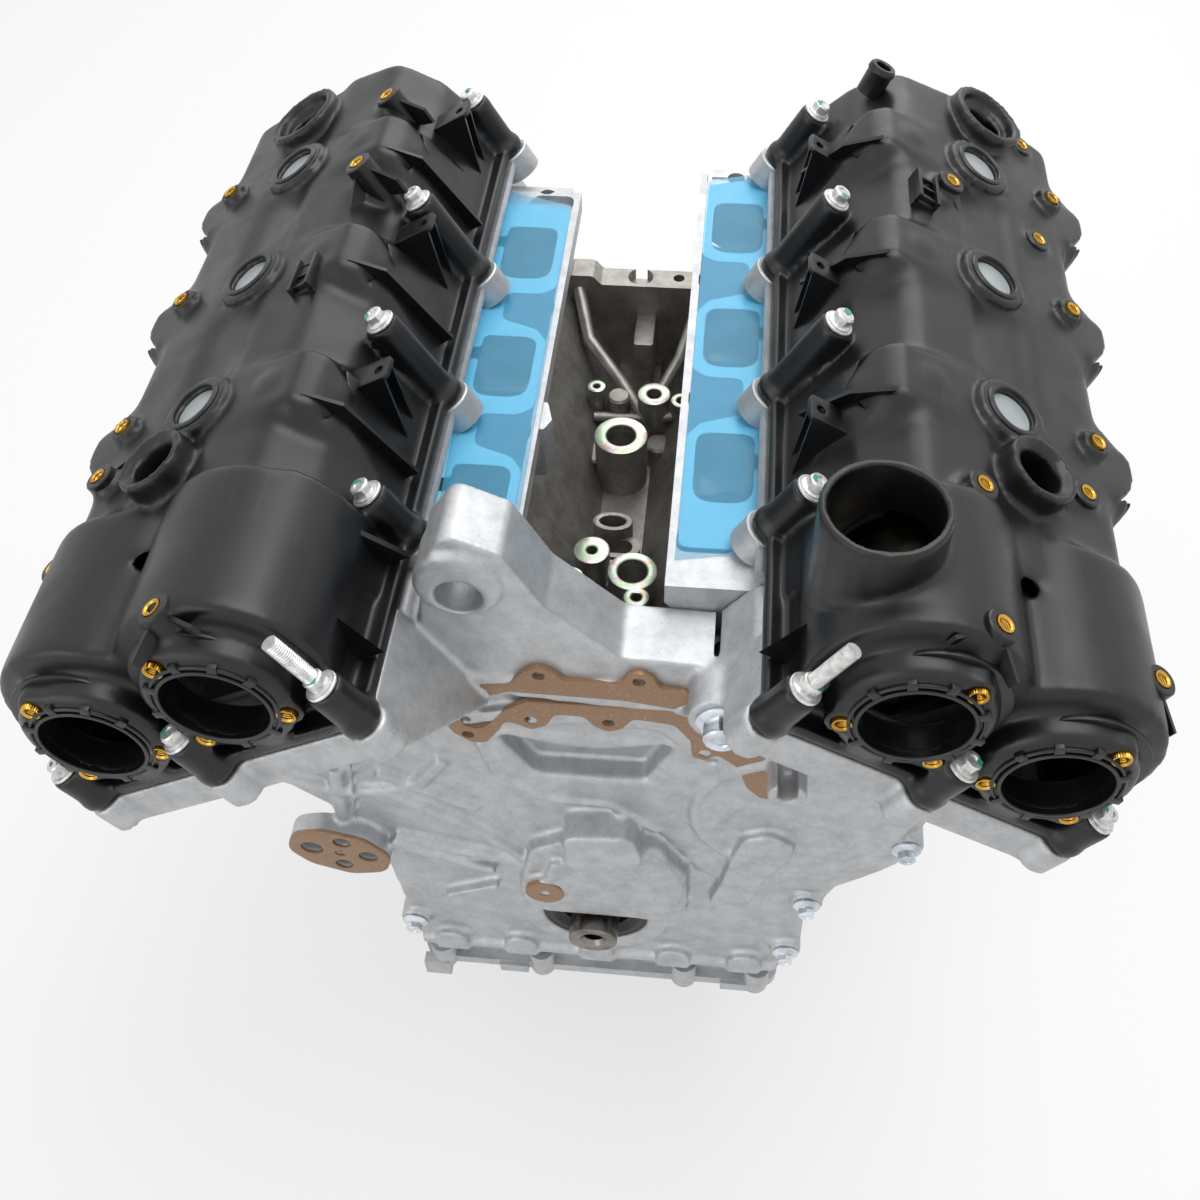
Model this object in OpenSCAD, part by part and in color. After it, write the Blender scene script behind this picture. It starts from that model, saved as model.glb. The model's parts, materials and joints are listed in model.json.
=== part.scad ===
// Sixty-degree V6 long block with moulded cam covers, millimetres.
// +Z is up, the front of the engine faces -Y, the origin is on the crank
// centreline at the rear flange face.

/* [Block and crank] */
// Cylinder bore
bore = 96; // [94:0.5:97]
// Piston stroke
stroke = 83; // [80:0.5:84]
// Distance between neighbouring bores of one bank
bore_pitch = 106; // [105:0.5:109]
// How far the right bank sits behind the left one
bank_offset = 27; // [26:0.5:28]
// Connecting rod length between its two eyes
rod_length = 156.5; // [155:0.5:158]
// Crank axis to the deck, along a cylinder
deck_height = 227; // [226:0.5:230]
// Main journal diameter
main_d = 63.5; // [61:0.5:65]
// Rod journal diameter
pin_d = 58; // [55:0.5:59]
// Width of a main bearing web
main_w = 24; // [22:0.5:25]
// Crank angle of the picture, past firing dead centre of cylinder one
crank_rest = 10; // [8:0.5:12]
// Height of the pan rail below the crank axis
pan_rail = 62; // [60:0.5:64]
// Snout diameter of the crank
snout_d = 31.6; // [28:0.2:34]

/* [Heads] */
// Thickness of a head gasket
gasket_t = 1.2; // [0.8:0.1:2]
// Cover rail height above the crank axis, along a cylinder
rail_u = 318; // [316:0.5:319]
// Camshaft height above the crank axis, along a cylinder
cam_u = 362.8; // [361:0.2:364]
// Distance of the intake camshaft inward of the cylinder axis
cam_in = 33; // [32:0.2:34]
// Distance of the exhaust camshaft outward of the cylinder axis
cam_out = 46.8; // [46:0.2:48]
// Camshaft journal diameter
cam_journal_d = 27; // [24:0.5:28]
// Base circle radius of a lobe
lobe_base = 17; // [16.5:0.1:17.2]
// Lift of a lobe
lobe_lift = 5; // [4.5:0.1:5.2]
// Height of the intake manifold faces
intake_z = 301; // [300:0.5:303]
// Middle of an intake face, away from the engine's middle plane
intake_x = 65.5; // [64:0.5:67]
// Width of an intake face
intake_w = 46; // [44:0.5:50]

/* [Timing drive] */
// Chain pitch
chain_pitch = 7; // [6.8:0.05:7.1]
// Chain thickness across its path
chain_t = 5; // [4:0.2:6]
// Teeth of the crank sprocket
crank_teeth = 20; // [20:1:20]
// Teeth of the idler driven by the crank
idler_teeth = 30; // [30:1:30]
// Teeth of the idler rows that drive the camshafts
idler_cam_teeth = 21; // [21:1:21]
// Teeth of a cam phaser
phaser_teeth = 28; // [28:1:28]
// Height of the idler above the crank
idler_z = 130; // [128:1:132]

/* [Covers] */
// Wall of the moulded cam covers
cover_wall = 3.5; // [3:0.1:4]
// Top of the plug wells above the crank axis, along a cylinder
well_u = 409; // [407:0.5:411]
// Bore of a phaser opening
phaser_bore_d = 49; // [47:0.5:50]
// Outer diameter of the lip round a phaser opening
phaser_lip_d = 60; // [58:0.5:62]
// Bore of a plug well
well_d = 25; // [23:0.5:26]
// Outer diameter of the oil filler neck
filler_d = 57; // [54:0.5:60]
// Height of the filler rim above the crank axis
filler_z = 405; // [400:1:410]
// Diameter of the brass inserts
insert_d = 9.5; // [8:0.1:10.5]
// Wall of the cast front cover
front_wall = 5; // [4:0.2:6]
// Diameter of the front seal's seat
seal_d = 68; // [64:0.5:70]

/* [Sump] */
// Depth of the upper pan below the pan rail
pan_upper_h = 30; // [26:1:34]
// Depth of the whole sump below the crank axis
pan_bottom = 180; // [176:1:190]

/* [Hidden] */
$fn = 48;

// Lengths along the crank
flange_t = 12;
rear_seal_gap = 7.5;
half_bank = 30;
half_main = main_w / 2;
web_half = half_main - 0.5;
y_main_rear = -(flange_t + rear_seal_gap + half_main);
y_main = [for (i = [0:3]) y_main_rear - bore_pitch * (3 - i)];
y_pair = [for (i = [0:2]) (y_main[i] + y_main[i + 1]) / 2];
y_front = y_main[0] - half_main - 4.5;
y_rear = -9.5;
y_face = y_front - 36;
y_snout = y_face - 18;
function y_cyl(side, i) = y_pair[i] + side * bank_offset / 2;
function y_first(side) = y_cyl(side, 0);
function y_last(side) = y_cyl(side, 2);
function y_mid(side) = y_cyl(side, 1);

// Clearances
run_fit = 0.05;
rod_open_fit = 0.4;
seat_gap = 0.3;

// Crank geometry, angles from +Z towards +X
throw_r = stroke / 2;
main_r = main_d / 2;
pin_r = pin_d / 2;
shell_t = 2.5;
cap_foot = -44;
shell_r = main_r + run_fit + shell_t;
counter_r = 76;
cavity_r = 87;
cavity_w = 85;
snout_r = snout_d / 2;
function pair_of(k) = floor((k - 1) / 2);
function side_of(k) = k % 2 == 1 ? -1 : 1;
function cycle_of(k) = crank_rest - 120 * (k - 1) + 720;
function phase_of(k) = cycle_of(k) % 360;
function pin_angle(k) = phase_of(k) + side_of(k) * half_bank;
function pin_y(k) = y_cyl(side_of(k), pair_of(k));
function local_pin(k) = [side_of(k) * throw_r * sin(phase_of(k)), throw_r * cos(phase_of(k))];
function wrist_u(k) = local_pin(k)[1] + sqrt(pow(rod_length, 2) - pow(local_pin(k)[0], 2));
piston_r = bore / 2 - run_fit;
wrist_r = 11;
crown_h = 30;
skirt_h = 25;

// Heads
head_bottom = deck_height + gasket_t;
head_in = 72;
head_out = 80;
rail_in = 86;
rail_out = 96;
rail_floor = 296;
rail_w = 11;
valve_seat_u = 236;
valve_tip_u = 331;
valve_pair = 19;
finger_reach = 17;
finger_gap = 1;
spring_r = 10.6;
head_bolt_v = 50;
head_bolt_r = 5.5;
function cam_v(ex) = ex ? cam_out : -cam_in;
function tip_v(ex) = ex ? cam_out - finger_reach : -cam_in - finger_reach;
function seat_v(ex) = ex ? 22 : -20;
function hla_v(ex) = ex ? cam_out + finger_reach : -cam_in + finger_reach;
intake_peak = 490;
exhaust_peak = 250;
cam_journal_r = cam_journal_d / 2;
function head_front(side) = y_front;
function head_rear(side) = -7;
tube_out_r = 15;
intake_port_shift = [-6, 1];
function port_shift(side) = side < 0 ? intake_port_shift[0] : intake_port_shift[1];

// Timing drive
function sprocket_r(teeth) = teeth * chain_pitch / 360 * 57.29578;
y_primary = y_front - 23;
y_left_chain = y_front - 14;
y_right_chain = y_front - 5;
function y_chain(side) = side < 0 ? y_left_chain : y_right_chain;
sprocket_w = 5;
tooth_h = 1.6;
chain_back = 3.2;
chain_plate = 1.3;
chain_half = sprocket_w / 2 + seat_gap + chain_plate;
function cam_xz(side, ex) = [
    side * (cam_u * sin(half_bank) + cam_v(ex) * cos(half_bank)),
    cam_u * cos(half_bank) - cam_v(ex) * sin(half_bank)];

// Cam covers
function cover_front(side) = side < 0 ? y_face - 73.4 : y_face - 57.4;
function cover_rear(side) = side < 0 ? -4 : 3;
cover_flange_t = 7;
drum_r = 50;
drum_l = 104;
drum_set = 16;
insert_l = 9;
bolt_v = -81;
bolt_r = 3.4;
boss_r = 9.5;
left_bolts = [[-48, 353], [55, 376], [162, 376], [292, 358]];
right_bolts = [[-55, 353], [44, 376], [151, 376], [266, 358]];
function inner_bolts(side) = side < 0 ? left_bolts : right_bolts;
outer_bolt_v = 92.5;
outer_bolts = [[-48, 334], [58, 334], [164, 334], [262, 334]];
stud_u = 347;
mid_bolt = [7, 346];
out_bolt = [91, 344];
lip_bolt_r = 31.5;
lip_bolt_angles = [14, 128, -128];
edge_insert_v = 57;
edge_insert_u = 410;
edge_insert_y = 9;
front_inserts_left = [[-37, -147, 410], [54, -31, 412], [82, -72, 398]];
front_inserts_right = [[-27, -151, 412], [-26, -67, 410], [44, -33, 408], [71, -134, 404]];
rear_inserts_left = [[-61, 169, 410], [-57, 252, 404]];
rear_inserts_right = [[-24, 174, 410], [41, 170, 408], [40, 267, 408]];
function extra_inserts(side) = side < 0
    ? concat(front_inserts_left, rear_inserts_left)
    : concat(front_inserts_right, rear_inserts_right);
front_collar = [10, -40];
rear_collar = [12, 272];
collar_r = 20;
collar_bore_r = 12.5;
rear_collar_r = 25;
filler_x = 132;
filler_wall = 4;
filler_seat_l = 37;
dome_v = -42;
dome_u = 372;
dome_y = 1;
dome_r = 33;
filler_y = y_first(-1) - 91;

// Sump
pan_half = 125;
pan_front = y_face - 1;
sump_top = pan_rail + pan_upper_h;

alloy = [0.74, 0.75, 0.76];
steel = [0.62, 0.62, 0.64];
plastic = [0.09, 0.09, 0.1];

// Shapes along Y and along the bank's own axes
module along_y(y0, y1, r) {
    translate([0, y0, 0]) rotate([-90, 0, 0]) cylinder(h = y1 - y0, r = r);
}
module plate_y(y0, y1) {
    translate([0, y1, 0]) rotate([90, 0, 0]) linear_extrude(y1 - y0) children();
}
module plate_x(x0, x1) {
    translate([x0, 0, 0]) rotate([90, 0, 90]) linear_extrude(x1 - x0) children();
}
module bank(side) {
    if (side > 0) rotate([0, half_bank, 0]) children();
    else mirror([1, 0, 0]) rotate([0, half_bank, 0]) children();
}
module block_of(a, b) {
    translate(a) cube(b - a);
}
module rod_between(a, b, r) {
    d = b - a;
    translate(a) rotate([0, acos(d[2] / norm(d)), atan2(d[1], d[0])]) cylinder(h = norm(d), r = r);
}

// Outline tools: rounded corners and an even inset
function unit(a) = a / norm(a);
function corner(p, a, b, r, n) =
    r <= 0 ? [p] :
    let (d1 = unit(a - p), d2 = unit(b - p), half = acos(max(-1, min(1, d1 * d2))) / 2)
    let (t = min(r / tan(half), 0.49 * min(norm(a - p), norm(b - p))), q = t * tan(half))
    let (c = p + unit(d1 + d2) * q / sin(half), s = p + d1 * t, e = p + d2 * t)
    let (a0 = atan2(s[1] - c[1], s[0] - c[0]), a1 = atan2(e[1] - c[1], e[0] - c[0]))
    let (raw = a1 - a0, da = raw > 180 ? raw - 360 : raw < -180 ? raw + 360 : raw)
    [for (i = [0:n]) c + q * [cos(a0 + da * i / n), sin(a0 + da * i / n)]];
function rounded(pts, r, n = 4) =
    let (m = len(pts))
    [for (i = [0:m - 1])
        each corner(pts[i], pts[(i + m - 1) % m], pts[(i + 1) % m], is_list(r) ? r[i] : r, n)];
function inset(pts, d) =
    let (m = len(pts))
    [for (i = [0:m - 1])
        let (a = unit(pts[i] - pts[(i + m - 1) % m]), b = unit(pts[(i + 1) % m] - pts[i]))
        let (na = [-a[1], a[0]], nb = [-b[1], b[0]])
        pts[i] + (na + nb) * d / (1 + na * nb)];
function mirrored(pts) = [for (i = [len(pts) - 1:-1:0]) [-pts[i][0], pts[i][1]]];

// Block
skirt = [
    [-112, -pan_rail], [112, -pan_rail], [118, -10], [112, 40], [88, 62],
    [0, 140], [-88, 62], [-112, 40], [-118, -10]];
slab_in = 62;
slab_out = 64;
slab_bottom = 66;
valley_floor = 150;
valley_bosses = [
    [-4, 162, 17.5, 10], [13.5, 45, 15, 9.5], [-18, 13.5, 13.5, 8], [-24, 37, 8.5, 4],
    [-13, 60, 11, 3.5], [15, 204, 11, 5], [34, 199, 7, 3.5], [17.5, 25, 7.5, 3.5],
    [-25, 209, 6, 2.5]];
valley_u = 190;
valley_slot = [-2, 85];
fit_y = y_first(-1);
rear_flange = [
    [-150, -pan_rail], [150, -pan_rail], [150, 110], [96, 196], [-96, 196], [-150, 110]];
bell_x = 130;
bell_z0 = -20;
bell_z1 = 110;
mount_mid = -200;
function mount_y(side) = mount_mid + side * bank_offset / 2;
mount_x = 124;

module valley_fill() {
    plate_y(y_front + 1, y_rear - 1) polygon([[-4, 110], [4, 110], [26, valley_floor], [-26, valley_floor]]);
    plate_y(y_rear - 22, y_rear - 3)
        polygon(rounded([[-54, 150], [54, 150], [54, 222], [-28, 222], [-34, 229], [-52, 229]], 4));
    plate_y(y_front + 1, y_front + 14) polygon([[-48, 148], [48, 148], [48, 203], [-48, 203]]);
}

module valley_boss(b) {
    translate([b[0], fit_y + b[1], valley_floor - 22]) cylinder(h = valley_u - valley_floor + 22, r = b[2]);
}

module cylinder_block() color(alloy) {
    difference() {
        union() {
            plate_y(y_front, y_rear - 1) polygon(skirt);
            for (side = [-1, 1]) bank(side)
                block_of([-slab_in, y_front, slab_bottom], [slab_out, y_rear - 2, deck_height]);
            valley_fill();
            for (b = valley_bosses) valley_boss(b);
            translate([valley_slot[0], fit_y + valley_slot[1], valley_floor - 20]) scale_slot(17, 9, 36);
            plate_y(y_rear - 14, y_rear) polygon(rounded(rear_flange, 14));
            for (side = [-1, 1]) for (dy = [-40, 40]) for (dz = [-25, 25])
                translate([side * 100, mount_y(side) + dy, 10 + dz]) rotate([0, side * 90, 0])
                    cylinder(h = mount_x - 100, r = 12);
            for (side = [-1, 1]) bank(side) for (k = [0:3])
                translate([slab_out, y_first(side) - bore_pitch / 2 + 9 + k * (bore_pitch - 6), 120]) cylinder(h = 90, r = 7);
        }
        for (b = valley_bosses) translate([b[0], fit_y + b[1], valley_u - 26]) cylinder(h = 27, r = b[3]);
        translate([valley_slot[0], fit_y + valley_slot[1], valley_floor]) scale_slot(12, 5.5, 30);
        for (i = [0:2]) {
            along_y(y_main[i] + web_half, y_main[i + 1] - web_half, cavity_r);
            block_of([-cavity_w, y_main[i] + web_half, -pan_rail - 1], [cavity_w, y_main[i + 1] - web_half, 0]);
        }
        block_of([-cavity_w, y_front - 1, -pan_rail - 1], [cavity_w, y_main[0] - web_half, 0]);
        block_of([-57, y_front - 1, -pan_rail - 1], [57, y_rear + 1, 0]);
        along_y(y_front - 1, y_rear + 1, shell_r);
        along_y(y_main_rear + web_half, y_rear + 1, 50);
        for (side = [-1, 1]) bank(side) for (i = [0:2]) {
            translate([0, y_cyl(side, i), slab_bottom - 8]) cylinder(h = deck_height, r = bore / 2);
            for (dv = [-1, 1]) translate([dv * head_bolt_v, y_cyl(side, i) - bore_pitch / 2, deck_height - 70])
                cylinder(h = 71, r = head_bolt_r, $fn = 24);
        }
        for (side = [-1, 1]) bank(side) for (dv = [-1, 1])
            translate([dv * head_bolt_v, y_last(side) + bore_pitch / 2 - 3, deck_height - 70])
                cylinder(h = 71, r = head_bolt_r, $fn = 24);
        for (x = [-bell_x, bell_x]) for (z = [bell_z0, bell_z1])
            translate([x, 0, z]) along_y(y_rear - 20, y_rear + 1, 5.25);
        for (side = [-1, 1]) for (dy = [-40, 40]) for (dz = [-25, 25])
            translate([side * (mount_x - 20), mount_y(side) + dy, 10 + dz]) rotate([0, side * 90, 0])
                cylinder(h = 21, r = 4.25);
        for (y = y_main) for (x = [-42, 42]) translate([x, y, -1]) cylinder(h = 51, r = 5.3, $fn = 24);
        for (p = [[-1, y_rear - 11, 226], [26, y_rear - 11, 226]])
            translate([p[0], p[1], 214]) cylinder(h = 30, r = p[0] < 0 ? 9 : 4, $fn = 24);
    }
}
module scale_slot(hx, r, h) {
    linear_extrude(h) union() {
        square([2 * (hx - r), 2 * r], center = true);
        for (s = [-1, 1]) translate([s * (hx - r), 0]) circle(r);
    }
}

module main_bearing_caps() color(steel) for (y = y_main)
    difference() {
        plate_y(y - web_half + 0.4, y + web_half - 0.4)
            polygon([[-56, -0.2], [-56, cap_foot], [-30, cap_foot], [-25, -52], [25, -52], [30, cap_foot], [56, cap_foot], [56, -0.2]]);
        along_y(y - half_main - 1, y + half_main + 1, shell_r);
        for (x = [-42, 42]) translate([x, y, -60]) cylinder(h = 61, r = 5.3, $fn = 24);
    }

module main_bearing_shells() color([0.7, 0.6, 0.45]) for (y = y_main)
    difference() {
        along_y(y - half_main + 2, y + half_main - 2, shell_r - 0.02);
        along_y(y - half_main, y + half_main, main_r + run_fit);
    }

module hex_bolt(r, l, head_r, head_h, washer_r = 0, washer_h = 0) {
    cylinder(h = l, r = r, $fn = 24);
    translate([0, 0, l]) cylinder(h = washer_h + 0.01, r = max(washer_r, r), $fn = 32);
    translate([0, 0, l + washer_h]) cylinder(h = head_h, r = head_r, $fn = 6);
}

module main_cap_bolts() color(steel) for (y = y_main) for (x = [-42, 42]) {
    translate([x, y, 45]) mirror([0, 0, 1]) hex_bolt(5, 45 - cap_foot, 7.5, 7, 10, 2);
}

// Crankshaft: four mains, six splayed pins, counterweighted cheeks
cheek_t = bore_pitch / 2 - half_main - bank_offset;
module cheek(y0, y1, angle) {
    rotate([0, angle, 0]) plate_y(y0, y1) union() {
        circle(r = 42);
        translate([0, throw_r]) circle(r = 35);
        translate([-33, 0]) square([66, throw_r]);
        intersection() {
            circle(r = counter_r, $fn = 64);
            polygon([[-74, -10], [-40, -2], [40, -2], [74, -10], [60, -80], [-60, -80]]);
        }
    }
}
splay_t = 5;
module crankshaft() color(steel) difference() {
    union() {
        for (y = y_main) along_y(y - half_main - 0.5, y + half_main + 0.5, main_r);
        for (k = [1:6]) rotate([0, pin_angle(k), 0]) translate([0, 0, throw_r])
            along_y(pin_y(k) - bank_offset / 2 - (side_of(k) < 0 ? 0.5 : 0),
                pin_y(k) + bank_offset / 2 + (side_of(k) > 0 ? 0.5 : 0), pin_r);
        for (i = [0:2]) {
            cheek(y_main[i] + half_main, y_main[i] + half_main + cheek_t, pin_angle(2 * i + 1));
            cheek(y_main[i + 1] - half_main - cheek_t, y_main[i + 1] - half_main, pin_angle(2 * i + 2));
            rotate([0, pin_angle(2 * i + 1) - half_bank, 0]) plate_y(y_pair[i] - splay_t / 2, y_pair[i] + splay_t / 2)
                intersection() {
                    circle(r = counter_r + 4);
                    translate([0, throw_r * cos(half_bank)]) circle(r = throw_r * sin(half_bank) + pin_r + 2.5);
                }
        }
        along_y(y_main_rear + half_main, -flange_t, 40);
        along_y(-flange_t, 0, 46);
        along_y(y_face + 4, y_main[0] - half_main, 18);
        along_y(y_snout, y_face + 4, snout_r);
    }
    for (a = [0:45:315]) rotate([0, a, 0]) translate([0, 0, 38]) along_y(-flange_t + 1, 1, 4.5);
    along_y(-14, 1, 14);
    along_y(y_snout - 1, y_snout + 40, 6.2);
    translate([0, y_snout - 0.01, 0]) rotate([-90, 0, 0]) cylinder(h = 3, r1 = 8.6, r2 = 6.2);
}

// Chain sprocket with rounded gaps between its teeth
module sprocket(teeth, bore_r) {
    r = sprocket_r(teeth);
    tooth_pts = [for (i = [0:teeth - 1]) each [
        (r - 2.6) * [cos(i * 360 / teeth), sin(i * 360 / teeth)],
        (r - 0.6) * [cos((i + 0.28) * 360 / teeth), sin((i + 0.28) * 360 / teeth)],
        (r + tooth_h) * [cos((i + 0.5) * 360 / teeth), sin((i + 0.5) * 360 / teeth)],
        (r - 0.6) * [cos((i + 0.72) * 360 / teeth), sin((i + 0.72) * 360 / teeth)]]];
    difference() {
        polygon(tooth_pts);
        if (bore_r > 0) circle(r = bore_r);
    }
}
module crank_sprocket() color(steel) difference() {
    union() {
        plate_y(y_primary - sprocket_w / 2, y_primary + sprocket_w / 2) sprocket(crank_teeth, 0);
        along_y(y_primary + sprocket_w / 2, y_primary + sprocket_w / 2 + 3, 19.8);
    }
    along_y(y_primary - 10, y_primary + 10, 18.02);
}

module front_crank_seal() color([0.08, 0.08, 0.08]) difference() {
    union() {
        along_y(y_face + 0.2, y_face + 8.5, seal_d / 2);
    }
    translate([0, y_face - 0.01, 0]) rotate([-90, 0, 0]) cylinder(h = 3.5, r1 = 29, r2 = 25);
    along_y(y_face, y_face + 12, 23);
}

module rear_seal_housing() color(alloy) difference() {
    plate_y(y_rear + 0.01, y_rear + 7)
        polygon(rounded([[-66, -pan_rail], [66, -pan_rail], [66, 20], [40, 62], [-40, 62], [-66, 20]], 12));
    along_y(y_rear - 1, y_rear + 9, 46.6);
    for (a = [20, 70, 110, 160, 210, 330]) rotate([0, -a + 90, 0]) translate([0, 0, 56]) along_y(y_rear - 1, y_rear + 9, 3.2);
}

// Pistons and rods
module piston(k) {
    u = wrist_u(k);
    color([0.78, 0.78, 0.8]) bank(side_of(k)) translate([0, pin_y(k), u]) difference() {
        union() {
            difference() {
                translate([0, 0, -skirt_h]) cylinder(h = skirt_h + crown_h, r = piston_r, $fn = 64);
                translate([0, 0, -skirt_h - 1]) cylinder(h = skirt_h + crown_h - 8, r = piston_r - 5, $fn = 48);
                for (z = [9, 14, 19]) translate([0, 0, z]) difference() {
                    cylinder(h = 2, r = piston_r + 1, $fn = 64);
                    translate([0, 0, -1]) cylinder(h = 4, r = piston_r - 3, $fn = 64);
                }
                for (s = [-1, 1]) translate([-30, s * (piston_r - 8) - (s < 0 ? 14 : 0), -skirt_h - 1])
                    cube([60, 14, skirt_h - 4]);
            }
            for (s = [-1, 1]) translate([0, s * 22, 0]) rotate([90, 0, 0]) translate([0, 0, -9]) cylinder(h = 18, r = 17);
            for (s = [-1, 1]) translate([-15, s * 22 - 9, 0]) cube([30, 18, crown_h - 6]);
            rotate([90, 0, 0]) translate([0, 0, -31]) cylinder(h = 62, r = wrist_r);
        }
        rotate([90, 0, 0]) translate([0, 0, -40]) cylinder(h = 80, r = 7);
        translate([0, 0, crown_h - 2]) cylinder(h = 4, r = 30, $fn = 48);
    }
}

rod_w = 21;
module connecting_rod(k) {
    pin = local_pin(k);
    tilt = asin(pin[0] / rod_length);
    color(steel) bank(side_of(k)) translate([pin[0], pin_y(k), pin[1]]) rotate([0, -tilt, 0]) difference() {
        union() {
            rotate([90, 0, 0]) translate([0, 0, -rod_w / 2]) cylinder(h = rod_w, r = 38);
            translate([0, 0, rod_length]) rotate([90, 0, 0]) translate([0, 0, -rod_w / 2 + 1]) cylinder(h = rod_w - 2, r = 16);
            plate_y(-9, 9) polygon([[-19, 28], [19, 28], [10, 60], [8, rod_length - 10], [-8, rod_length - 10], [-10, 60]]);
            for (s = [-1, 1]) translate([s * 33, 0, -20]) cylinder(h = 36, r = 5.5, $fn = 24);
        }
        rotate([90, 0, 0]) translate([0, 0, -rod_w]) cylinder(h = 2 * rod_w, r = pin_r + rod_open_fit);
        translate([0, 0, rod_length]) rotate([90, 0, 0]) translate([0, 0, -rod_w]) cylinder(h = 2 * rod_w, r = wrist_r + run_fit);
        for (s = [-1, 1]) plate_y(s > 0 ? 4 : -12, s > 0 ? 12 : -4)
            polygon([[-9, 46], [9, 46], [4, rod_length - 24], [-4, rod_length - 24]]);
    }
}

// Heads
port_w = 35;
port_l = 44;
module port_outline(grow = 0) {
    polygon(rounded([
        [-port_w / 2 - grow, -port_l / 2 - grow], [port_w / 2 + grow, -port_l / 2 - grow],
        [port_w / 2 + grow, -5 - grow], [port_w / 2 + 6 + grow, -5 - grow],
        [port_w / 2 + 6 + grow, 9 + grow], [port_w / 2 + grow, 9 + grow],
        [port_w / 2 + grow, port_l / 2 + grow], [-port_w / 2 - grow, port_l / 2 + grow]],
        [13, 13, 2, 3, 3, 2, 13, 9]));
}
module head_side(side, y0, y1) {
    plate_y(y0, y1) polygon(rounded([
        [-head_in, head_bottom], [head_out, head_bottom], [head_out, 270], [rail_out, 292], [rail_out, rail_u - 1],
        [-rail_in, rail_u - 1], [-rail_in, rail_u - 6], [-head_in, rail_u - 14]], [0, 0, 6, 6, 0, 0, 4, 4]));
}
module intake_flange(side) {
    y0 = y_front;
    y1 = y_last(side) + 59;
    x0 = intake_x - intake_w / 2 - 4;
    x1 = intake_x + intake_w / 2 + 4;
    scale_x(side) plate_y(y0, y1)
        polygon([[x0, intake_z - 13], [x0 + 14, intake_z - 30], [x1 + 10, intake_z - 60], [x1 + 18, intake_z - 10], [x1, intake_z], [x0, intake_z]]);
}
module scale_x(side) {
    if (side < 0) mirror([1, 0, 0]) children();
    else children();
}
module intake_cuts(side) scale_x(side) for (i = [0:2]) {
    y = y_cyl(side, i) + port_shift(side);
    translate([intake_x - 2, y, intake_z - 34]) linear_extrude(35) port_outline();
    for (d = [-1, 1]) translate([intake_x - 12, y + d * bore_pitch / 2, intake_z - 5])
        linear_extrude(6) polygon(rounded([[-11, -8], [20, -8], [14, 8], [-11, 8]], 5));
}
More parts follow.
